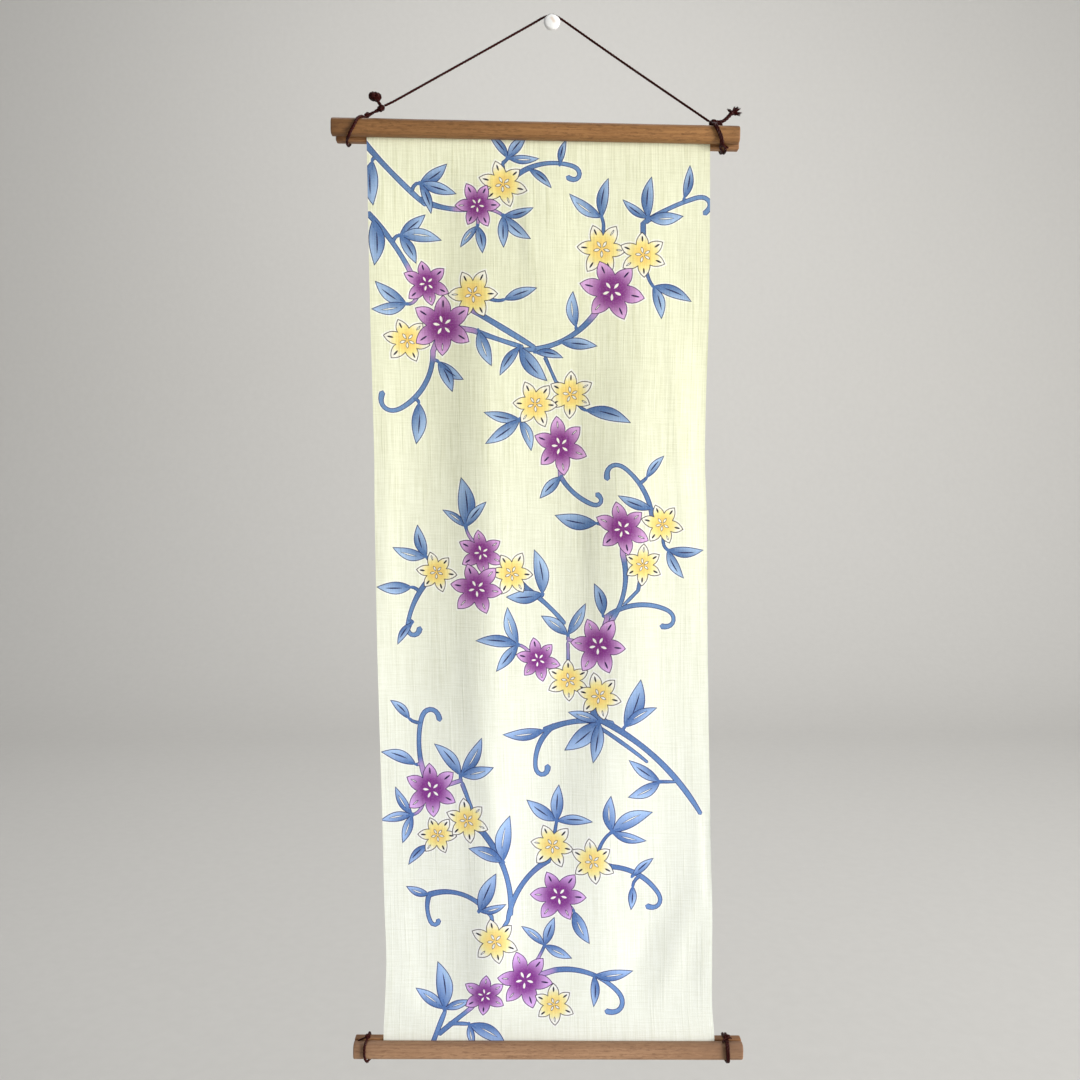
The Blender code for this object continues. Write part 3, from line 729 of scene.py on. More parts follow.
def make_bar(name, length, centre_x, centre_z, shape, finish, seed, painted_light_rule):
    """Sweeps the section along the bar and keeps each point's place in the grain and its painted light and shade."""
    outline = bar_outline(shape)
    middle = np.array((shape["back"] - 0.5 * shape["depth"], 0.0))
    half = 0.5 * length
    ends = [(0.0, 1.3), (0.12, 0.75), (0.4, 0.35), (0.8, 0.1), (1.3, 0.0)]
    inner = np.linspace(-half + 1.3, half - 1.3, 72)[1:-1]
    stations = [(-half + out, shrink) for out, shrink in ends]
    stations += [(along, 0.0) for along in inner]
    stations += [(half - out, shrink) for out, shrink in reversed(ends)]
    verts, grain, painted_light = [], [], []
    for along, shrink in stations:
        wobble = 0.10 * math.sin(0.031 * along + seed) + 0.06 * math.sin(0.083 * along + 2.3 * seed)
        for number, (y, z) in enumerate(outline):
            dent = 0.05 * math.sin(0.17 * along + 1.9 * number + seed) * math.sin(0.045 * along - 0.6 * number)
            span = np.array((y, z)) - middle
            size = np.linalg.norm(span)
            y2, z2 = middle + span * (1.0 - (shrink + dent - 0.03) / size)
            z2 += wobble * (0.5 if z > 0 else -0.5)
            x = centre_x + along * math.cos(BAR_TILT) + z2 * math.sin(BAR_TILT)
            up = centre_z - along * math.sin(BAR_TILT) + z2 * math.cos(BAR_TILT)
            verts.append((0.001 * x, 0.001 * y2, 0.001 * up))
            grain.append((0.001 * along + seed, 0.001 * (y2 - middle[0]), 0.001 * z2))
            painted_light.append(painted_light_rule(along / length, z / shape["height"]))
    count = len(outline)
    faces = []
    for row in range(len(stations) - 1):
        for step in range(count):
            after = (step + 1) % count
            here, there = row * count, (row + 1) * count
            faces.append((here + step, here + after, there + after, there + step))
    faces.append(tuple(range(count - 1, -1, -1)))
    faces.append(tuple((len(stations) - 1) * count + step for step in range(count)))
    mesh = bpy.data.meshes.new(name)
    mesh.from_pydata(verts, [], faces)
    kept = mesh.attributes.new("grain", "FLOAT_VECTOR", "POINT")
    kept.data.foreach_set("vector", np.array(grain).ravel())
    mesh.attributes.new("painted_light", "FLOAT", "POINT").data.foreach_set("value", painted_light)
    mesh.shade_smooth()
    mesh.set_sharp_from_angle(angle=math.radians(38.0))
    mesh.materials.append(finish.material)
    piece = bpy.data.objects.new(name, mesh)
    bpy.context.scene.collection.objects.link(piece)
    return piece


# %% [markdown]
# Wood grain is a solid thing: rings round a heart that lies outside the bar, drawn out along it,
# with fine fibres and short dark pores. Reading the rings from each point's distance to the heart
# gives long streaks on the faces and arcs on the ends, all from the same few nodes.


# %% Wood finish
def make_wood(name, heart, pale, mid, dark, ring_width, gloss):
    """Stained wood with rings round a heart at (y, z) metres from the bar's middle."""
    finish = Finish(name, Specular_IOR_Level=0.35)
    grain = finish.attribute("grain")
    drift = finish.noise(finish.stretched(grain, (5.0, 60.0, 60.0)), 1.0, 2.0) * 0.006
    parts = finish.add("ShaderNodeSeparateXYZ", {}, {0: grain})
    depth = Wire(finish, parts.socket.node.outputs[1]) - heart[0]
    height = Wire(finish, parts.socket.node.outputs[2]) - heart[1]
    distance = (depth * depth + height * height) ** 0.5 + drift
    saw = finish.sum("FRACT", distance / ring_width, 0.0)
    late = saw.between(0.35, 0.92) * (1.0 - saw.between(0.93, 1.0))
    fibre = finish.noise(finish.stretched(grain, (14.0, 900.0, 900.0)), 1.0, 4.0, 0.62)
    pore = finish.noise(finish.stretched(grain, (55.0, 2600.0, 2600.0)), 1.0, 2.0).between(0.60, 0.72)
    patch = finish.noise(finish.stretched(grain, (9.0, 40.0, 40.0)), 1.0, 3.0)
    painted_light = finish.attribute("painted_light", "Fac")
    fleck = finish.noise(finish.stretched(grain, (170.0, 640.0, 640.0)), 1.0, 3.0, 0.7).between(0.48, 0.66)
    dull = finish.noise(finish.stretched(grain, (120.0, 540.0, 540.0), (3.0, 1.0, 5.0)), 1.0, 3.0, 0.7)
    tone = finish.blend(fibre.between(0.30, 0.72), mid, pale)
    tone = finish.blend(late * patch.between(0.25, 0.7) * 0.30, tone, dark)
    tone = finish.blend(pore * 0.50, tone, dark)
    tone = finish.blend(fleck * 0.64, tone, pale)
    tone = finish.blend(dull.between(0.50, 0.67) * 0.52, tone, dark)
    tone = finish.blend(patch.between(0.35, 0.75) * 0.35, tone, mid)
    # Painted light and shade: the tone darkens where a bar's painted_light value is low.
    tone = finish.blend(0.78 - painted_light * 0.78, tone, dark)
    finish.feed("Base Color", tone)
    finish.feed("Roughness", gloss + fibre * 0.18 + pore * 0.1)
    finish.emboss(fibre * 0.6 - pore * 0.8 - late * 0.3, 0.35, 0.0004)
    return finish


top_batten_finish = make_wood(
    "top_batten_wood", (0.018, -0.026), paint(200, 146, 90), paint(158, 111, 64), paint(90, 58, 31), 0.0031, 0.42
)
bottom_batten_finish = make_wood(
    "bottom_batten_wood", (0.022, 0.024), paint(206, 163, 126), paint(172, 132, 99), paint(112, 80, 58), 0.0033, 0.46
)
slat_finish = make_wood(
    "slat_wood", (-0.030, 0.016), paint(204, 154, 104), paint(166, 118, 72), paint(112, 72, 42), 0.0027, 0.46
)


def sun_side(along, up):
    """Top bars: painted light and shade, paler towards the right, where the light has reached them most, darker at
    both long edges, most of all the upper one, and darker at the ends.
    """
    shaded_edge = 1.1 * up * up + 0.40 * up
    return min(1.0, max(0.0, 0.48 + 0.36 * along - shaded_edge - 6.0 * max(0.0, abs(along) - 0.44)))


def bottom_bar_painted_light(along, up):
    """Bottom bars: painted light and shade, paler at the lower edge, where the light reaches them more, and darker
    to the right and at the ends.
    """
    shade = 0.55 * up + 0.30 * max(0.0, along) + 3.0 * max(0.0, abs(along) - 0.38)
    return min(1.0, max(0.0, 0.62 - shade))


# name, solid, length, middle across, middle up, section, finish, painted light and shade, seed
BARS = (
    ("top_batten", "top_front_batten", 390.0, -15.3, -106.4, BATTEN, top_batten_finish, sun_side, 0.7),
    ("top_slat", "top_back_slat", 388.0, -13.1, -108.8, SLAT, slat_finish, sun_side, 1.9),
    ("bottom_batten", "bottom_front_batten", 386.0, -2.9, -1005.4, BATTEN, bottom_batten_finish, bottom_bar_painted_light, 3.2),
    ("bottom_slat", "bottom_back_slat", 386.0, -2.9, -1005.8, SLAT, slat_finish, bottom_bar_painted_light, 4.4),
)
for bar_name, bar_node, bar_length, bar_x, bar_z, bar_shape, bar_finish, bar_painted_light_rule, seed in BARS:
    bar = make_bar(bar_name, bar_length, bar_x, bar_z, bar_shape, bar_finish, seed, bar_painted_light_rule)
    hand_over(bar, "batten_wood" if bar_shape is BATTEN else "slat_wood", bar_node)

# %% [markdown]
# ## Wall pin
#
# The cord hangs on a white plastic pin: a barrel that stands on the wall, a wider head with soft
# edges, and a steel needle that is in the wall. It is moulded in one shot, so its rim is not quite
# round and a faint streak crosses its face. A turned profile with a slight lobe gives that.

# %% Pin
PIN_HEAD_RADIUS = 0.0079
PIN_FRONT = -0.0100


def make_turned(name, profile, steps, finish, lobe=0.0):
    """Turns a profile of (radius, y, squeeze, lift), a little flat and low, with an uneven rim."""
    verts, faces = [], []
    for radius, y, *low in profile:
        squeeze, lift = low or (1.0, 0.0)
        for step in range(steps):
            angle = 2.0 * math.pi * step / steps
            uneven = 1.0 + lobe * (math.sin(3.0 * angle + 0.8) + 0.6 * math.sin(5.0 * angle))
            verts.append((radius * uneven * math.cos(angle), y, squeeze * radius * uneven * math.sin(angle) + lift))
    for row in range(len(profile) - 1):
        for step in range(steps):
            after = (step + 1) % steps
            here, there = row * steps, (row + 1) * steps
            faces.append((here + step, there + step, there + after, here + after))
    faces.append(tuple(range(steps)))
    faces.append(tuple((len(profile) - 1) * steps + step for step in range(steps - 1, -1, -1)))
    mesh = bpy.data.meshes.new(name)
    mesh.from_pydata(verts, [], faces)
    kept = mesh.attributes.new("place", "FLOAT_VECTOR", "POINT")
    kept.data.foreach_set("vector", np.array(verts).ravel())
    mesh.shade_smooth()
    mesh.set_sharp_from_angle(angle=math.radians(50.0))
    mesh.materials.append(finish.material)
    piece = bpy.data.objects.new(name, mesh)
    bpy.context.scene.collection.objects.link(piece)
    return piece


def make_pin_plastic():
    """Milky white plastic with a faint beige flow line across the face."""
    finish = Finish("white_plastic", Roughness=0.32, Subsurface_Weight=0.0, Coat_Weight=0.1)
    place = finish.attribute("place")
    parts = finish.add("ShaderNodeSeparateXYZ", {}, {0: place})
    across, up = parts, Wire(finish, parts.socket.node.outputs[2])
    off_line = finish.sum("ABSOLUTE", across * 0.83 + up * 0.55 - 0.0012, 0.0)
    off_middle = finish.sum("ABSOLUTE", up * 0.83 - across * 0.55 - 0.0004, 0.0)
    streak = (1.0 - off_line.between(0.0004, 0.0021)) * (1.0 - off_middle.between(0.0016, 0.0042))
    cloud = finish.noise(finish.stretched(place, (420.0, 420.0, 420.0)), 1.0, 3.0)
    tone = finish.blend(cloud.between(0.3, 0.8) * 0.35, paint(246, 246, 244), paint(228, 227, 222))
    finish.feed("Base Color", finish.blend(streak * 0.60, tone, paint(220, 196, 172)))
    finish.feed("Roughness", 0.26 + cloud * 0.16)
    return finish


def make_needle_steel():
    """Bright drawn steel with faint lines along it."""
    finish = Finish("pin_steel", Metallic=1.0)
    place = finish.attribute("place")
    drawn = finish.noise(finish.stretched(place, (3000.0, 60.0, 3000.0)), 1.0, 3.0)
    finish.feed("Base Color", finish.blend(drawn, paint(176, 178, 182), paint(214, 215, 218)))
    finish.feed("Roughness", 0.2 + drawn * 0.2)
    return finish


pin_plastic = make_pin_plastic()
FLAT, LOW = 0.93, -0.0003
head_profile = [(PIN_BARREL_RADIUS - 0.0002, 0.0, 0.80, 0.0018)]
head_profile += [(PIN_BARREL_RADIUS, y, 0.80, 0.0018) for y in (-0.0003, -0.0046)]
head_profile += [(0.0071, -0.0053, 0.88, 0.0007), (0.0077, -0.0058, FLAT, LOW)]
for step in range(9):
    angle = math.radians(11.25 * step)
    rim_radius = PIN_HEAD_RADIUS - 0.0026 * (1.0 - math.cos(angle))
    head_profile.append((rim_radius, PIN_FRONT + 0.0026 * (1.0 - math.sin(angle)), FLAT, LOW))
head_profile += [(0.0038, PIN_FRONT - 0.0003, FLAT, LOW), (0.0012, PIN_FRONT - 0.0005, FLAT, LOW)]
hand_over(make_turned("pin_head", head_profile, 64, pin_plastic, 0.011), "white_plastic", "wall_pin_head")
needle_profile = [(0.0006, 0.0), (0.0006, 0.0066), (0.0004, 0.0080), (0.0001, 0.0090)]
hand_over(make_turned("pin_needle", needle_profile, 24, make_needle_steel()), "pin_steel", "wall_pin_needle")

# %% [markdown]
# ## The cloth's folds
#
# The towel hangs from its top bars with long soft folds that wander a little on their way down.
# A cloth simulation would give folds of its own, and not these, so the folds are given one by one: a
# table holds each fold's place and height at six stations, and a smooth curve joins them. Smaller
# creases, each a soft line from one point to another, are added to the large ones.

# %% Fold tables
CLOTH_WIDTH, CLOTH_LENGTH, CLOTH_THICKNESS = 0.330, 0.900, 0.00045
CLOTH_LEAN = math.radians(0.684)
CLOTH_MIDDLE_Y = -0.0124
CLOTH_TOP_CENTRE = (-0.0127, -0.1062)
GRIP_END, GRIP_START, FOLD_RUN_IN = 0.0140, 0.9880, 0.0750
SIDE_STATIONS = (0.00, 0.18, 0.29, 0.35, 0.40, 0.57, 0.73, 0.84, 0.90, 0.95, 0.99)
LEFT_DRAWN_IN = (0.0, 0.1, 1.0, 1.4, 0.9, 0.9, 2.5, 3.3, 4.2, 2.0, 0.0)
RIGHT_DRAWN_IN = (0.0, 1.6, 4.9, 5.9, 4.6, 4.4, 3.1, 1.5, 2.0, 2.2, 0.0)
FOLD_STATIONS = (0.10, 0.30, 0.45, 0.60, 0.75, 0.90)
# name: (half width as a share of the cloth's width, places across, heights in millimetres)
FOLDS = {
    "left trough": (0.085, (0.19, 0.15, 0.14, 0.11, 0.09, 0.15), (-4.2, -4.9, -4.6, -4.1, -1.6, -2.2)),
    "left ridge": (0.055, (0.33, 0.33, 0.34, 0.33, 0.33, 0.32), (0.5, 2.8, 2.8, 3.6, 3.2, 4.0)),
    "middle trough": (0.080, (0.52, 0.55, 0.56, 0.56, 0.51, 0.51), (2.6, -1.8, -2.5, -2.7, -2.0, -0.6)),
    "right ridge": (0.075, (0.77, 0.78, 0.74, 0.73, 0.66, 0.61), (1.8, 4.4, 4.7, 3.2, 2.6, 1.2)),
    "right hollow": (0.080, (0.90, 0.92, 0.92, 0.92, 0.88, 0.82), (-0.3, 0.0, 0.0, -0.4, -1.6, -2.4)),
    "right edge curl": (0.035, (1.00, 1.00, 1.00, 1.00, 1.00, 1.00), (0.0, -3.0, -2.4, -0.8, 0.0, 0.6)),
}
# start (across, down), end (across, down), half width and height in millimetres
CREASES = (
    ((0.455, 0.03), (0.470, 0.15), 4.0, 0.7),
    ((0.985, 0.72), (0.990, 0.84), 3.5, -1.0),
    ((0.80, 0.99), (0.97, 0.80), 9.0, 1.1),
    ((0.66, 0.99), (0.86, 0.83), 8.0, -0.8),
    ((0.03, 0.93), (0.16, 0.99), 8.0, 1.0),
    ((0.05, 0.30), (0.02, 0.55), 7.0, 0.7),
    ((0.60, 0.20), (0.63, 0.52), 6.0, -0.5),
    ((0.30, 0.62), (0.37, 0.86), 6.0, 0.5),
    ((0.88, 0.18), (0.94, 0.42), 5.0, 0.6),
)


# %% Fold shapes
def curve_through(stations, values, place):
    """Reads a smooth curve through values at uneven stations, for a whole array of places."""
    stations, values = np.array(stations), np.array(values)
    place = np.clip(place, stations[0], stations[-1])
    left = np.clip(np.searchsorted(stations, place, side="right") - 1, 0, len(stations) - 2)
    slopes = np.zeros(len(stations))
    slopes[1:-1] = (values[2:] - values[:-2]) / (stations[2:] - stations[:-2])
    width = stations[left + 1] - stations[left]
    step = (place - stations[left]) / width
    rise = values[left + 1] - values[left]
    start, end = slopes[left] * width, slopes[left + 1] * width
    cubic = start + end - 2.0 * rise
    square = 3.0 * rise - 2.0 * start - end
    return values[left] + step * (start + step * (square + step * cubic))


def fold_height(across, down):
    """Height of folds and creases towards the front, in millimetres."""
    height = np.zeros_like(across)
    for half_width, places, heights in FOLDS.values():
        centre = curve_through(FOLD_STATIONS, places, down)
        peak = curve_through(FOLD_STATIONS, heights, down)
        height += peak * np.exp(-0.5 * ((across - centre) / half_width) ** 2)
    x, y = across * CLOTH_WIDTH * 1000.0, down * CLOTH_LENGTH * 1000.0
    for start, end, half_width, peak in CREASES:
        start_x, start_y = start[0] * CLOTH_WIDTH * 1000.0, start[1] * CLOTH_LENGTH * 1000.0
        end_x, end_y = end[0] * CLOTH_WIDTH * 1000.0, end[1] * CLOTH_LENGTH * 1000.0
        run_x, run_y = end_x - start_x, end_y - start_y
        run = math.hypot(run_x, run_y)
        along = ((x - start_x) * run_x + (y - start_y) * run_y) / run
        aside = ((x - start_x) * run_y - (y - start_y) * run_x) / run
        ends = ramp(along, -0.1 * run, 0.35 * run) * (1.0 - ramp(along, 0.65 * run, 1.1 * run))
        height += peak * ends * np.exp(-0.5 * (aside / half_width) ** 2)
    height += 0.12 * np.sin(0.115 * x + 1.3 * np.sin(0.011 * y)) * np.sin(0.009 * y + 0.7)
    height += 0.07 * np.sin(0.23 * x - 0.021 * y + 1.1) * np.sin(0.017 * y + 0.02 * x)
    free = ramp(down, GRIP_END, GRIP_END + FOLD_RUN_IN)
    free = free * (1.0 - ramp(down, GRIP_START - FOLD_RUN_IN, GRIP_START))
    return height * free


def cloth_surface(flat_mm):
    """Where flat points (across, down, in millimetres) of the cloth hang, in metres."""
    across = flat_mm[:, 0] / (1000.0 * CLOTH_WIDTH)
    down = flat_mm[:, 1] / (1000.0 * CLOTH_LENGTH)
    left = 0.001 * curve_through(SIDE_STATIONS, LEFT_DRAWN_IN, down)
    right = 0.001 * curve_through(SIDE_STATIONS, RIGHT_DRAWN_IN, down)
    along = (across - 0.5) * CLOTH_WIDTH + left * (1.0 - across) - right * across
    drop = down * CLOTH_LENGTH
    x = CLOTH_TOP_CENTRE[0] + along * math.cos(BAR_TILT) + drop * math.sin(CLOTH_LEAN)
    z = CLOTH_TOP_CENTRE[1] - along * math.sin(BAR_TILT) - drop * math.cos(CLOTH_LEAN)
    return np.column_stack((x, CLOTH_MIDDLE_Y - 0.001 * fold_height(across, down), z))


middle_point = cloth_surface(np.array([[165.0, 450.0]]))[0]
print("the cloth's middle hangs at", middle_point.round(4))

# %% [markdown]
# ## The print: shapes
#
# The towel is printed with six-pointed flowers in purple and yellow, blue leaves and curling vines.
# A pixel picture would blur close up, so the print is drawn as outlines: every flower, leaf and
# vine is made by a rule from a few numbers. A thin pale line round each one is where the dye was
# held back. Later the cloth's mesh is cut along these outlines, so that every edge is crisp.


# %% Drawing helpers
LAYERS = ("held back", "vine rims", "vines", "leaves", "stalks", "ribs", "flowers")
layers = {name: [] for name in LAYERS}


def dye(layer, outline, colour):
    """Adds a shape to one layer of the print. Its colour is plain, or a rule from places to colours."""
    layers[layer].append((outline, colour))


def toward(degrees):
    """The direction of a heading on the flat cloth: 0 to the right, 90 down."""
    return np.array((math.cos(math.radians(degrees)), math.sin(math.radians(degrees))))


def lens(start, end, half_width, belly=0.45, bow=0.0, steps=7, blunt=0.9):
    """A pointed oval from start to end, widest near belly, with its middle line bowed."""
    start, end = np.array(start, float), np.array(end, float)
    run = end - start
    aside = np.array((-run[1], run[0]))
    s = np.linspace(0.0, 1.0, steps + 1)
    width = np.sin(math.pi * s ** (math.log(0.5) / math.log(belly))) ** blunt
    middle = start + s[:, None] * run + (4.0 * bow * s * (1.0 - s))[:, None] * aside
    out = (half_width / np.linalg.norm(run)) * width[:, None] * aside
    return np.vstack((middle + out, (middle - out)[-2:0:-1]))


def ribbon(line, half):
    """A strip along a line, with a half width at each of its points and short pointed ends."""
    ahead = np.gradient(line, axis=0)
    ahead /= np.linalg.norm(ahead, axis=1)[:, None]
    reach = half[:, None] * np.column_stack((-ahead[:, 1], ahead[:, 0]))
    nose = line[-1] + 0.8 * half[-1] * ahead[-1]
    tail = line[0] - 0.8 * half[0] * ahead[0]
    return np.vstack((line + reach, [nose], (line - reach)[::-1], [tail]))


def grown(outline, by):
    """Moves every side of an outline outwards by a distance in millimetres."""
    ahead = np.roll(outline, -1, axis=0) - outline
    turning = np.sum(outline[:, 0] * np.roll(outline[:, 1], -1) - np.roll(outline[:, 0], -1) * outline[:, 1])
    out = np.column_stack((ahead[:, 1], -ahead[:, 0])) * (1.0 if turning > 0.0 else -1.0)
    out /= np.linalg.norm(out, axis=1)[:, None] + 1e-9
    corner = out + np.roll(out, 1, axis=0)
    corner /= np.maximum(np.sum(corner * corner, axis=1), 0.9)[:, None]
    return outline + 2.0 * by * corner


def fading(places_to_share, first, second):
    """A rule that fades to a second colour from a first one, or from what another rule gives."""
    second = np.array(second[:3])

    def colour(places):
        start = first(places) if callable(first) else np.array(first[:3])
        return start + places_to_share(places)[:, None] * (second - start)

    return colour


def from_centre(centre, low, high):
    """How far a place is from a centre: 0 up to low, 1 from high on."""
    return lambda places: ramp(np.linalg.norm(places - centre, axis=1), low, high)


def from_base(base, tip):
    """How far along from base to tip a place is."""
    base, run = np.array(base, float), np.array(tip, float) - np.array(base, float)
    return lambda places: ramp((places - base) @ run / (run @ run), 0.1, 1.0)


print("a lens of 7 steps has", len(lens((0, 0), (10, 0), 2)), "points")

# %% [markdown]
# Flowers are six petals round a centre. A petal swells a little beyond the notch that it shares
# with its neighbour and then closes to a blunt point. Purple ones are deepest in the middle and
# yellow ones turn white at their tips. Each petal has a dark stroke, and five small white ovals ring
# the centre. Petals differ a little in length and angle, as in a hand-cut stencil.

# %% Flowers
FLOWER_DYES = {
    "purple": {
        "heart": paint(132, 48, 134),
        "deep": paint(142, 56, 144),
        "tip": paint(234, 184, 238),
        "line": paint(80, 46, 98),
        "stroke": paint(44, 22, 76),
        "fade": (0.32, 0.94),
    },
    "yellow": {
        "heart": paint(254, 214, 118),
        "deep": paint(255, 238, 150),
        "tip": paint(255, 252, 240),
        "line": paint(66, 54, 58),
        "stroke": paint(34, 28, 46),
        "fade": (0.52, 0.82),
    },
}
HELD_BACK = paint(254, 254, 244)
PETAL_SWELL = (0.71, 0.285)
PETAL_SHOULDER = (0.88, 0.140)


def petal_side(notch, tip, centre, axis, side, reach, steps=6):
    """The curved side of a petal from its notch out to its tip, without the tip."""
    across = side * np.array((-axis[1], axis[0]))
    swell, shoulder = (
        centre + reach * (along * axis + beside * across) for along, beside in (PETAL_SWELL, PETAL_SHOULDER)
    )
    t = np.linspace(0.0, 1.0, steps, endpoint=False)[:, None]
    return (1 - t) ** 3 * notch + 3 * t * (1 - t) ** 2 * swell + 3 * t**2 * (1 - t) * shoulder + t**3 * tip


def print_flower(kind, across, down, reach, turn):
    """Draws one flower of the given reach, turned by degrees."""
    dyes, centre = FLOWER_DYES[kind], np.array((across, down), float)
    seed = 0.37 * across + 0.61 * down
    outline, petals = [], []
    for petal in range(6):
        axis = toward(turn + 60.0 * petal + 3.5 * math.sin(seed + 2.1 * petal))
        length = reach * (0.98 + 0.05 * math.sin(1.7 * seed + 1.9 * petal))
        tip = centre + length * axis
        before, after = (centre + 0.51 * reach * toward(turn + 60.0 * petal + half) for half in (-30.0, 30.0))
        outline += list(petal_side(before, tip, centre, axis, -1.0, length))
        outline += [tip] + list(petal_side(after, tip, centre, axis, 1.0, length)[:0:-1])
        petals.append((axis, length))
    outline = np.array(outline)
    dye("held back", grown(outline[::2], 1.9), HELD_BACK)
    dye("flowers", grown(outline, 0.45), dyes["line"])
    low, high = (share * reach for share in dyes["fade"])
    rule = fading(from_centre(centre, 0.15 * reach, 0.62 * reach), dyes["heart"], dyes["deep"])
    dye("flowers", grown(outline, -0.35), fading(from_centre(centre, low, high), rule, dyes["tip"]))
    for petal, (axis, length) in enumerate(petals):
        start, end = centre + 0.58 * length * axis, centre + 0.86 * length * axis
        dye("flowers", lens(start, end, 0.86, 0.5, 0.0, 6, 0.45), dyes["stroke"])
        if (petal + round(seed)) % 5 < (3 if kind == "purple" and down > 240 else 1):
            inner = 0.04 * reach * axis
            dye("flowers", lens(start + inner, end - inner, 0.36, 0.5, 0.0, 6, 0.6), HELD_BACK)
    for oval in range(5):
        axis = toward(turn + 12.0 + 72.0 * oval + 6.0 * math.sin(seed + oval))
        shape = lens(centre + 0.09 * reach * axis, centre + 0.31 * reach * axis, 0.042 * reach, 0.55, 0.0, 6, 0.75)
        if kind == "yellow":
            dye("flowers", grown(shape, 0.5), dyes["line"])
        dye("flowers", shape, HELD_BACK)


# %% [markdown]
# A leaf is a pointed oval that fades from a deep blue base to a pale tip, with a darker rim and a
# navy stroke for its rib. Some ribs are left white instead. A vine is a ribbon that follows a
# heading: it bends evenly on its way and can curl up at its end, where it thickens a little. Each
# leaf sits on a short stalk, which runs into the nearest vine or flower without a rim between them.

# %% Leaves and vines
LEAF_DEEP, LEAF_PALE = paint(82, 118, 174), paint(186, 214, 250)
LEAF_RIM, LEAF_RIB = paint(42, 58, 108), paint(34, 40, 92)
VINE_BLUE, VINE_PALE = paint(88, 122, 174), paint(112, 148, 198)
LILAC = paint(206, 158, 214)
vine_lines = []


def near_purple(places):
    """How close places are to a purple flower: up to 0.85 on it and 0 a little beyond its tips."""
    share = np.zeros(len(places))
    for kind, across, down, reach, _ in FLOWERS:
        if kind == "purple":
            away = np.linalg.norm(places - (across, down), axis=1)
            share = np.maximum(share, 0.85 * (1.0 - ramp(away, 0.90 * reach, 1.25 * reach)))
    return share


def blushed(rule):
    """A colour rule that turns lilac close to a purple flower."""
    return fading(near_purple, rule, LILAC)


def rooted(line):
    """Leads both ends of a line on into the nearest flower, where one is close."""
    for end, close in ((0, 14.0), (-1, 5.0)):
        gaps = []
        for _, across, down, reach, _ in FLOWERS:
            centre = np.array((across, down), float)
            gaps.append((np.linalg.norm(line[end] - centre) - reach, reach, tuple(centre)))
        gap, reach, centre = min(gaps)
        if -0.5 * reach < gap < close:
            inner = centre + 0.45 * reach * (line[end] - centre) / (gap + reach)
            line = np.vstack((inner, line)) if end == 0 else np.vstack((line, inner))
    return line


def vine_line(across, down, heading, length, bend, curl):
    """Points along a vine: an even bend on the way and a curl over its last third."""
    steps = max(8, round(length / (3.0 if curl else 4.4)))
    s = (np.arange(steps) + 0.5) / steps
    angle = np.radians(heading + bend * s + curl * ramp(s, 0.62, 1.0) ** 1.5)
    moves = (length / steps) * np.column_stack((np.cos(angle), np.sin(angle)))
    return np.vstack(([(across, down)], np.array((across, down)) + np.cumsum(moves, axis=0)))


def print_vine(across, down, heading, length, bend, curl, width):
    """Draws one vine, thicker where it starts and where it ends in a curl."""
    line = rooted(vine_line(across, down, heading, length, bend, curl))
    s = np.linspace(0.0, 1.0, len(line))
    knob = 0.30 if abs(curl) > 100.0 else -0.20
    half = 0.5 * width * (1.05 + 0.25 * (1.0 - s) ** 3 + knob * ramp(s, 0.86, 1.0) + 0.07 * np.sin(9.0 * s + across))
    dye("held back", ribbon(line, half + 1.2), HELD_BACK)
    dye("vine rims", ribbon(line, half + 0.2), LEAF_RIM)
    rule = fading(from_base(line[0], line[-1]), VINE_BLUE, VINE_PALE)
    dye("vines", ribbon(line, half - 0.5), blushed(rule))
    vine_lines.append(line)


def print_stalk(joint, heading):
    """Joins a leaf joint to the nearest vine or flower, if one is close, with a bend into its leaves."""
    ends = np.vstack(vine_lines)
    gaps = np.linalg.norm(ends - joint, axis=1)
    nearest, shortest = ends[gaps.argmin()], gaps.min()
    for _, across, down, reach, _ in FLOWERS:
        centre = np.array((across, down), float)
        away = np.linalg.norm(joint - centre)
        if away - 0.6 * reach < shortest:
            nearest, shortest = joint + (centre - joint) * (away - 0.4 * reach) / away, away - 0.6 * reach
    gap = np.linalg.norm(nearest - joint)
    if 0.8 < gap < 34.0:
        t = np.linspace(0.0, 1.0, max(4, round(gap / 3.0)))[:, None]
        bend = joint - 0.45 * gap * toward(heading)
        line = (1 - t) ** 2 * nearest + 2 * t * (1 - t) * bend + t**2 * joint
        half = np.linspace(1.5, 1.1, len(line))
        dye("held back", ribbon(line, half + 1.1), HELD_BACK)
        dye("vine rims", ribbon(line, half + 0.5), LEAF_RIM)
        dye("vines", ribbon(line, half - 0.2), blushed(fading(from_base(nearest, joint), VINE_BLUE, LEAF_DEEP)))


def across_leaf(joint, way, length, half_width, side):
    """A leaf's fade: from its base to its tip, and paler on one side of its rib."""
    aside = side * np.array((-way[1], way[0])) / half_width

    def share(places):
        along = (places - joint) @ way / length
        return np.clip(0.10 + 0.62 * ramp(along, 0.05, 0.9) + 0.34 * ((places - joint) @ aside), 0.0, 1.0)

    return share


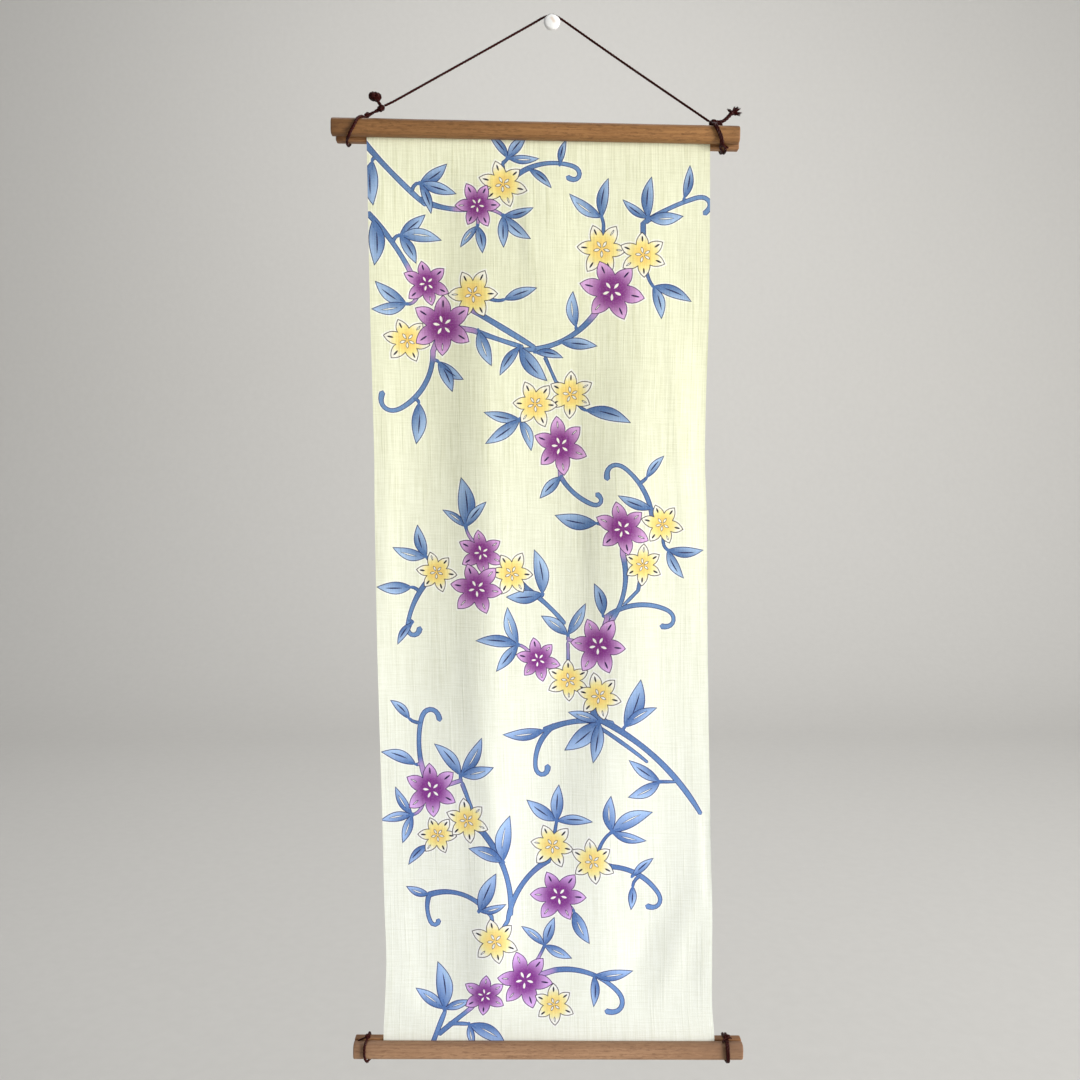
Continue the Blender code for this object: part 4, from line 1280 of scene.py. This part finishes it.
def print_leaf(joint, heading, length):
    """Draws one leaf that grows from a joint in a heading."""
    seed = 0.43 * joint[0] + 0.29 * joint[1] + 0.1 * heading
    bow = 0.07 * math.sin(seed)
    way = toward(heading)
    tip = joint + length * way
    half_width = length * (0.160 + 0.022 * math.sin(2.0 * seed))
    outline = lens(joint, tip, half_width, 0.46, bow, 11, 0.95)
    dye("held back", grown(outline[::2], 1.5), HELD_BACK)
    dye("leaves", grown(outline, 0.35), LEAF_RIM)
    side = 1.0 if math.sin(5.0 * seed) > 0.0 else -1.0
    fade = across_leaf(joint, way, length, half_width, side)
    dye("leaves", grown(outline, -0.45), fading(fade, LEAF_DEEP, LEAF_PALE))
    foot = np.array([joint - 1.5 * way, joint + 0.06 * length * way, joint + 0.2 * length * way])
    dye("stalks", ribbon(foot, np.array((1.3, 1.2, 0.5))), LEAF_DEEP)
    middle = joint + 4.0 * bow * length * 0.24 * np.array((-way[1], way[0]))
    start, end = middle + 0.26 * length * way, middle + 0.76 * length * way
    if math.sin(3.0 * seed) > (0.72 if joint[1] < 550.0 else -0.45):
        dye("ribs", lens(start, end, 1.0, 0.5, 0.2 * bow), LEAF_RIM)
        inner = 0.04 * length * way
        dye("ribs", lens(start + inner, end - inner, 0.5, 0.5, 0.2 * bow), HELD_BACK)
    else:
        dye("ribs", lens(start, end, 0.70, 0.5, 0.3 * bow, 7, 0.7), LEAF_RIB)


# %% [markdown]
# ## The print: layout
#
# The tables say where things grow on the flat cloth, in millimetres across and down from its top
# left corner. The flowers stand where the photograph has them, to the nearest five millimetres. The
# vines and leaves between them were laid out from headings, lengths and bends, also in steps of
# five, and moved until each group stood about right beside the photograph. No outline and no
# vine's path is traced: those come from the rules above.

# %% Where the vines, leaves and flowers are
# across, down, heading, length, bend, curl, width
VINES = (
    (-5, 10, 50, 85, -10, 0, 4.6),
    (50, 65, 25, 50, -30, 0, 4.4),
    (0, 80, 45, 75, 20, 0, 4.4),
    (145, 40, -35, 80, 75, 170, 3.8),
    (265, 85, -35, 85, 25, 150, 3.8),
    (220, 170, 125, 85, 55, 0, 4.4),
    (90, 165, 30, 80, 0, 0, 5.0),
    (100, 190, 20, 50, -5, 0, 4.2),
    (60, 210, 90, 100, 90, 110, 4.2),
    (170, 215, 65, 25, 0, 0, 2.8),
    (185, 330, 60, 60, -55, -150, 4.0),
    (275, 375, -90, 90, -75, -110, 4.0),
    (50, 435, 130, 70, -45, -160, 4.0),
    (150, 440, 35, 50, 15, 0, 4.0),
    (245, 405, 75, 75, 55, 0, 4.2),
    (230, 465, -35, 90, 85, 140, 4.0),
    (190, 490, 90, 30, 0, 0, 3.0),
    (260, 440, 135, 20, 0, 0, 3.0),
    (165, 580, -25, 70, 35, 0, 4.8),
    (215, 565, 25, 145, 35, 0, 5.2),
    (210, 570, 30, 70, 10, 0, 3.4),
    (175, 575, 145, 70, -85, -150, 4.2),
    (45, 630, -110, 90, 50, 140, 4.2),
    (80, 630, 70, 30, 0, 0, 3.6),
    (100, 680, 50, 90, 45, 0, 4.8),
    (165, 710, 150, 75, -50, 0, 4.6),
    (45, 745, -20, 70, 75, 0, 4.2),
    (45, 745, 110, 40, -60, -130, 3.8),
    (230, 715, 5, 80, 75, 120, 4.2),
    (170, 820, -10, 105, 85, 120, 4.2),
    (45, 905, -70, 45, 0, 0, 4.4),
    (55, 885, -40, 40, 0, 0, 4.2),
    (65, 875, -5, 20, 10, 0, 3.4),
    (280, 630, 0, 15, 0, 0, 2.8),
    (130, 30, 85, 20, 0, 0, 2.6),
)
# across, down, then each leaf's heading and length
LEAF_GROUPS = (
    (50, 50, (-35, 32), (15, 36), (70, 30)),
    (5, 30, (90, 42)),
    (30, 100, (-40, 32), (5, 40), (60, 30)),
    (5, 85, (90, 44)),
    (135, 25, (-130, 28), (-50, 28), (0, 30)),
    (185, 30, (-75, 24)),
    (155, 35, (40, 28)),
    (105, 90, (130, 26), (80, 26)),
    (130, 80, (-15, 30), (40, 34), (90, 30)),
    (225, 80, (-145, 38), (-80, 38)),
    (270, 80, (-145, 30), (-85, 40), (-5, 34)),
    (305, 60, (-80, 32)),
    (275, 145, (20, 40), (75, 32)),
    (130, 160, (-20, 34)),
    (35, 165, (-145, 36), (170, 34)),
    (200, 185, (-95, 34)),
    (185, 200, (5, 36)),
    (160, 210, (10, 28)),
    (145, 205, (50, 42), (125, 34)),
    (105, 190, (70, 36)),
    (45, 260, (95, 40)),
    (65, 220, (35, 30), (65, 32)),
    (145, 275, (-170, 36), (145, 42), (70, 32)),
    (210, 265, (15, 46)),
    (185, 330, (135, 30)),
    (270, 330, (-50, 28)),
    (275, 360, (-160, 36)),
    (90, 380, (-145, 28), (-95, 48), (-50, 32)),
    (50, 410, (-165, 34), (-105, 32)),
    (35, 440, (180, 34)),
    (35, 475, (125, 26)),
    (220, 375, (-170, 42)),
    (290, 400, (0, 36), (60, 32)),
    (165, 445, (-100, 44), (175, 36)),
    (225, 465, (-105, 32)),
    (140, 495, (-105, 38), (185, 42), (130, 34)),
    (190, 485, (-145, 32), (-60, 36)),
    (245, 575, (-70, 50), (-30, 38)),
    (165, 580, (175, 42)),
    (220, 570, (195, 32), (140, 46), (100, 42)),
    (280, 630, (-145, 38), (155, 36)),
    (30, 570, (-135, 26)),
    (35, 615, (-160, 36)),
    (80, 625, (-130, 40), (-60, 44), (-15, 34)),
    (30, 665, (-120, 32), (170, 32), (110, 30)),
    (45, 695, (135, 28)),
    (175, 670, (-145, 36), (-85, 36), (0, 36)),
    (230, 680, (-90, 36), (-25, 46), (15, 36)),
    (120, 710, (-80, 46), (200, 36)),
    (45, 745, (200, 24)),
    (95, 760, (-65, 42), (-15, 28)),
    (160, 795, (-140, 30), (-70, 30), (25, 30)),
    (190, 760, (65, 36)),
    (250, 725, (-40, 28)),
    (250, 735, (95, 24)),
    (210, 825, (-5, 40), (90, 32)),
    (60, 860, (-145, 36), (-100, 48), (-20, 28)),
    (85, 875, (80, 24), (30, 42)),
)
# kind, across, down, reach, turn
FLOWERS = (
    ("yellow", 130, 50, 23, 15),
    ("purple", 105, 70, 22, 0),
    ("yellow", 225, 110, 25, 5),
    ("yellow", 265, 115, 23, 25),
    ("purple", 235, 150, 31, 10),
    ("purple", 55, 145, 23, 20),
    ("yellow", 100, 155, 25, 0),
    ("yellow", 35, 200, 23, 10),
    ("purple", 70, 185, 31, 30),
    ("yellow", 195, 250, 23, 30),
    ("yellow", 160, 260, 23, 5),
    ("purple", 185, 300, 28, 20),
    ("yellow", 285, 375, 21, 10),
    ("yellow", 265, 415, 20, 30),
    ("purple", 245, 380, 27, 20),
    ("yellow", 60, 425, 20, 10),
    ("purple", 105, 405, 23, 25),
    ("yellow", 135, 425, 22, 0),
    ("purple", 100, 440, 27, 10),
    ("purple", 160, 510, 22, 15),
    ("yellow", 190, 530, 22, 30),
    ("purple", 220, 495, 29, 5),
    ("yellow", 220, 545, 23, 15),
    ("purple", 50, 640, 28, 25),
    ("yellow", 55, 685, 20, 5),
    ("yellow", 85, 670, 22, 20),
    ("yellow", 170, 695, 23, 10),
    ("yellow", 210, 710, 23, 25),
    ("purple", 175, 745, 28, 5),
    ("yellow", 110, 790, 24, 20),
    ("purple", 100, 845, 22, 30),
    ("purple", 140, 830, 29, 10),
    ("yellow", 170, 855, 21, 25),
)
for vine in VINES:
    print_vine(*vine)
for across, down, *leaves in LEAF_GROUPS:
    joint = np.array((across, down), float)
    spread = sum(toward(heading) for heading, _ in leaves)
    print_stalk(joint, math.degrees(math.atan2(spread[1], spread[0])))
    for heading, length in leaves:
        print_leaf(joint, heading, length)
for flower in FLOWERS:
    print_flower(*flower)
shapes = [shape for layer in LAYERS for shape in layers[layer]]
print("shapes in the print:", len(shapes))

# %% [markdown]
# ## Cutting the cloth along its print
#
# One triangulation takes the outlines of all shapes as fixed edges and fills the rest with an even
# spread of points, so that the cloth can still bend. Every triangle then lies in or out of each
# shape as a whole. The shape that was drawn last wins, and gives the triangle its colour.

# %% One triangulation of cloth and print
GRID = 5.3
width_mm, length_mm = 1000.0 * CLOTH_WIDTH, 1000.0 * CLOTH_LENGTH


def cut_cloth():
    """Triangles of the flat cloth, cut along the print's outlines."""
    points, edges = [], []

    def add_ring(ring):
        first = len(points)
        points.extend(ring.tolist())
        edges.extend((first + step, first + (step + 1) % len(ring)) for step in range(len(ring)))

    columns, rows = round(width_mm / GRID), round(length_mm / GRID)
    xs, ys = np.linspace(0.0, width_mm, columns + 1), np.linspace(0.0, length_mm, rows + 1)
    rim = [(x, 0.0) for x in xs] + [(width_mm, y) for y in ys[1:]]
    rim += [(x, length_mm) for x in xs[-2::-1]] + [(0.0, y) for y in ys[-2:0:-1]]
    add_ring(np.array(rim))
    for outline, _ in shapes:
        low, high = outline.min(axis=0), outline.max(axis=0)
        if high[0] > 0.0 and high[1] > 0.0 and low[0] < width_mm and low[1] < length_mm:
            add_ring(outline)
    inner_x, inner_y = np.meshgrid(xs[1:-1], ys[1:-1])
    inner_x[::2] += 0.25 * GRID
    inner_x[1::2] -= 0.25 * GRID
    points.extend(np.column_stack((inner_x.ravel(), inner_y.ravel())).tolist())
    result = geometry.delaunay_2d_cdt([Vector(point) for point in points], edges, [], 0, 1e-4, False)
    flat = np.array([tuple(point) for point in result[0]])
    triangles = np.array([tuple(face) for face in result[2]])
    middles = flat[triangles].mean(axis=1)
    inside = (middles[:, 0] > 0.0) & (middles[:, 0] < width_mm) & (middles[:, 1] > 0.0) & (middles[:, 1] < length_mm)
    triangles = triangles[inside]
    used = np.unique(triangles)
    renumber = np.full(len(flat), -1)
    renumber[used] = np.arange(len(used))
    return flat[used], renumber[triangles]


def inside_outline(places, outline):
    """Which places lie in an outline, by how often it winds round them."""
    start, end = outline, np.roll(outline, -1, axis=0)
    winding = np.zeros(len(places), int)
    for (x1, y1), (x2, y2) in zip(start, end):
        side = (x2 - x1) * (places[:, 1] - y1) - (places[:, 0] - x1) * (y2 - y1)
        winding += (y1 <= places[:, 1]) & (y2 > places[:, 1]) & (side > 0)
        winding -= (y1 > places[:, 1]) & (y2 <= places[:, 1]) & (side < 0)
    return winding != 0


flat_points, triangles = cut_cloth()
print("cloth points", len(flat_points), "triangles", len(triangles))

# %% [markdown]
# Colours are worked out at the corners of each triangle, so a petal can fade inside one shape while
# its edge stays sharp. The bare cloth keeps its own cream.

# %% Colours of the print
CREAM = np.array(paint(244, 245, 216)[:3])
WHITER_AND_LIT = np.array(paint(248, 251, 243)[:3])
DYE_COOLS = np.array((0.0, 0.04, 0.20))


def bare_cloth(places):
    """The undyed cotton: cream at the top and a little whiter further down, partly the cotton's own tone and partly
    painted light.
    """
    share = ramp(places[:, 1], 150.0, 750.0)[:, None]
    return CREAM + share * (WHITER_AND_LIT - CREAM)


def dyed_cloth(colour, places):
    """A printed colour, a little bluer further down."""
    colours = colour(places) if callable(colour) else np.tile(colour[:3], (len(places), 1))
    cool = ramp(places[:, 1], 350.0, 750.0)
    return np.minimum(colours * (1.0 + cool[:, None] * DYE_COOLS), 1.0)


def colour_corners():
    """The colour of each corner of each triangle."""
    middles = flat_points[triangles].mean(axis=1)
    colours = bare_cloth(flat_points[triangles].reshape(-1, 2)).reshape(-1, 3, 3)
    for outline, colour in shapes:
        low, high = outline.min(axis=0), outline.max(axis=0)
        near = np.nonzero(np.all((middles >= low) & (middles <= high), axis=1))[0]
        if not len(near):
            continue
        near = near[inside_outline(middles[near], outline)]
        corners = flat_points[triangles[near]].reshape(-1, 2)
        colours[near] = dyed_cloth(colour, corners).reshape(-1, 3, 3)
    return colours


corner_colours = colour_corners()
print("colours for", len(corner_colours), "triangles")


# %% [markdown]
# The flat triangles are now hung on the fold surface, once for the front and once for the back,
# with a narrow rim between them. Exact normals come from the surface itself, which keeps the light
# smooth over triangles of very different sizes. The dye shows through more weakly on the back.


# %% The hung cloth
def hang_cloth(finish):
    """One closed thin sheet: printed front, paler back and a rim."""
    step = 0.4
    middle = cloth_surface(flat_points)
    across = cloth_surface(flat_points + (step, 0.0)) - cloth_surface(flat_points - (step, 0.0))
    down = cloth_surface(flat_points + (0.0, step)) - cloth_surface(flat_points - (0.0, step))
    normals = np.cross(down, across)
    normals /= np.linalg.norm(normals, axis=1)[:, None]
    if normals[:, 1].mean() > 0.0:
        normals = -normals
    count = len(flat_points)
    places = np.vstack((middle + 0.5 * CLOTH_THICKNESS * normals, middle - 0.5 * CLOTH_THICKNESS * normals))
    a, b, c = (middle[triangles[:, corner]] for corner in range(3))
    facing = np.cross(b - a, c - a)[:, 1] < 0.0
    front = np.where(facing[:, None], triangles, triangles[:, ::-1])
    front_colours = np.where(facing[:, None, None], corner_colours, corner_colours[:, ::-1])
    back = front[:, ::-1] + count
    back_colours = CREAM + 0.55 * (front_colours[:, ::-1] - CREAM)
    sides = np.vstack((front[:, (0, 1)], front[:, (1, 2)], front[:, (2, 0)]))
    names = np.sort(sides, axis=1) @ np.array((count, 1))
    _, first, tally = np.unique(names, return_index=True, return_counts=True)
    rim = sides[first[tally == 1]]
    rim_faces = [(int(q), int(p), int(p) + count, int(q) + count) for p, q in rim]
    mesh = bpy.data.meshes.new("printed_towel")
    mesh.from_pydata(places.tolist(), [], front.tolist() + back.tolist() + rim_faces)
    colours = np.ones((len(mesh.loops), 4))
    dyed = np.vstack((front_colours.reshape(-1, 3), back_colours.reshape(-1, 3)))
    colours[: len(dyed), :3] = dyed
    colours[len(dyed) :, :3] = CREAM
    mesh.attributes.new("print", "FLOAT_COLOR", "CORNER").data.foreach_set("color", colours.ravel())
    corner_points = np.zeros(len(mesh.loops), int)
    mesh.loops.foreach_get("vertex_index", corner_points)
    flat = np.vstack((flat_points, flat_points))[corner_points] * 0.001
    mesh.uv_layers.new(name="thread").data.foreach_set("uv", flat.ravel())
    mesh.shade_smooth()
    mesh.normals_split_custom_set_from_vertices(np.vstack((normals, -normals)).tolist())
    mesh.materials.append(finish.material)
    piece = bpy.data.objects.new("printed_towel", mesh)
    bpy.context.scene.collection.objects.link(piece)
    return piece


# %% [markdown]
# The cotton is a plain weave of uneven yarns. The thicker yarns show as fine upright streaks, with
# fainter level ones across them, and the dye is a little uneven too. All of it is noise stretched
# along the yarns, laid on the cloth's own flat measure so that it follows the folds.


# %% Cotton finish
def make_cotton():
    """Printed plain-woven cotton."""
    finish = Finish("printed_cotton", Specular_IOR_Level=0.2, Sheen_Weight=0.12, Sheen_Roughness=0.5)
    thread = finish.add("ShaderNodeUVMap", {"uv_map": "thread"})
    dyed = finish.attribute("print", "Color")
    upright = finish.noise(finish.stretched(thread, (930.0, 22.0, 1.0)), 1.0, 3.0, 0.6)
    level = finish.noise(finish.stretched(thread, (52.0, 790.0, 1.0), (4.3, 2.6, 0.0)), 1.0, 3.0, 0.6)
    slub = finish.noise(finish.stretched(thread, (420.0, 9.0, 1.0), (3.0, 7.0, 0.0)), 1.0, 2.0).between(0.50, 0.70)
    nub = finish.noise(finish.stretched(thread, (13.0, 520.0, 1.0), (1.0, 5.0, 0.0)), 1.0, 2.0).between(0.52, 0.72)
    weave = finish.noise(finish.stretched(thread, (1300.0, 1300.0, 1.0)), 1.0, 2.0, 0.6)
    cloudy = finish.noise(finish.stretched(thread, (22.0, 22.0, 1.0)), 1.0, 3.0)
    mottle = finish.noise(finish.stretched(thread, (620.0, 620.0, 1.0), (9.0, 2.0, 0.0)), 1.0, 3.0, 0.7)
    down = Wire(finish, finish.add("ShaderNodeSeparateXYZ", {}, {0: thread}).socket.node.outputs[1])
    cross = level.between(0.34, 0.66) * (0.19 + 0.13 * down.between(0.1, 0.6))
    shade = upright.between(0.34, 0.66) * 0.49 + cross + slub * 0.24 + nub * 0.12
    yarn = finish.blend(1.0, dyed, (0.66, 0.65, 0.53, 1.0), "MULTIPLY")
    # Painted light: the upright yarn streaks fade towards the bottom, where the cloth is brighter lit.
    tone = finish.blend(shade * (0.78 - 0.36 * down.between(0.15, 0.65)), dyed, yarn)
    tone = finish.blend(mottle.between(0.45, 0.75) * 0.20, tone, finish.blend(0.5, tone, paint(250, 250, 240)))
    cloud = finish.blend(1.0, tone, (0.86, 0.86, 0.82, 1.0), "MULTIPLY")
    tone = finish.blend(cloudy.between(0.35, 0.8) * 0.10, tone, cloud)
    finish.feed("Base Color", tone)
    finish.feed("Roughness", 0.82 + weave * 0.12)
    finish.emboss(upright * 0.6 + level * 0.5 + weave * 0.6 + slub * 0.4 + nub * 0.3, 0.5, 0.00035)
    return finish


towel = hang_cloth(make_cotton())
hand_over(towel, "printed_cotton", "cloth")

# %% [markdown]
# ## Floor and light
#
# The photograph is lit from the right by one large soft source, nearly level, which draws each fold
# as a bright and a shaded side. A wide area light stands there, with a weak fill opposite. The
# floor is a pale sheet that curves up far behind, so no edge or wall shows close to the towel.


# %% Floor
def make_floor():
    """A plain pale floor that rises in a wide curve far behind."""
    profile = [(-7.0, 0.0), (-3.0, 0.0), (0.0, 0.0), (3.2, 0.0)]
    profile += [(3.2 + 1.6 * math.sin(math.radians(a)), 1.6 - 1.6 * math.cos(math.radians(a))) for a in range(10, 91, 10)]
    profile += [(4.8, 5.0)]
    verts = [(x, y, z - 1.42) for y, z in profile for x in (-8.0, 8.0)]
    faces = [(2 * row, 2 * row + 1, 2 * row + 3, 2 * row + 2) for row in range(len(profile) - 1)]
    mesh = bpy.data.meshes.new("studio_floor")
    mesh.from_pydata(verts, [], faces)
    mesh.shade_smooth()
    finish = Finish("studio_paper", Roughness=0.85)
    place = finish.add("ShaderNodeNewGeometry", {}, {})
    speckle = finish.noise(finish.stretched(place, (40.0, 40.0, 40.0)), 1.0, 4.0)
    finish.feed("Base Color", finish.blend(speckle, paint(206, 204, 200), paint(212, 210, 206)))
    mesh.materials.append(finish.material)
    floor = bpy.data.objects.new("studio_floor", mesh)
    bpy.context.scene.collection.objects.link(floor)
    return floor


make_floor()


# %% Lights
def add_light(name, place, target, size, power, colour):
    """A square area light that faces a point."""
    lamp = bpy.data.lights.new(name, "AREA")
    lamp.size = size
    lamp.energy = power
    lamp.color = colour
    light = bpy.data.objects.new(name, lamp)
    light.location = place
    light.rotation_euler = (Vector(target) - Vector(place)).to_track_quat("-Z", "Y").to_euler()
    bpy.context.scene.collection.objects.link(light)
    return light


towel_middle = (0.0, -0.01, -0.55)
add_light("key_light", (4.40, -2.35, 0.10), towel_middle, 2.4, 344.0, (1.0, 0.994, 0.975))
add_light("fill_light", (-1.8, -2.6, 0.6), towel_middle, 2.2, 11.0, (0.96, 0.98, 1.0))
add_light("floor_light", (0.0, 1.4, 2.6), (0.0, 3.2, -0.9), 2.5, 70.0, (1.0, 1.0, 1.0))

world = bpy.data.worlds.new("studio_air")
world.use_nodes = True
world.node_tree.nodes["Background"].inputs[0].default_value = (0.86, 0.87, 0.88, 1.0)
world.node_tree.nodes["Background"].inputs[1].default_value = 0.28
bpy.context.scene.world = world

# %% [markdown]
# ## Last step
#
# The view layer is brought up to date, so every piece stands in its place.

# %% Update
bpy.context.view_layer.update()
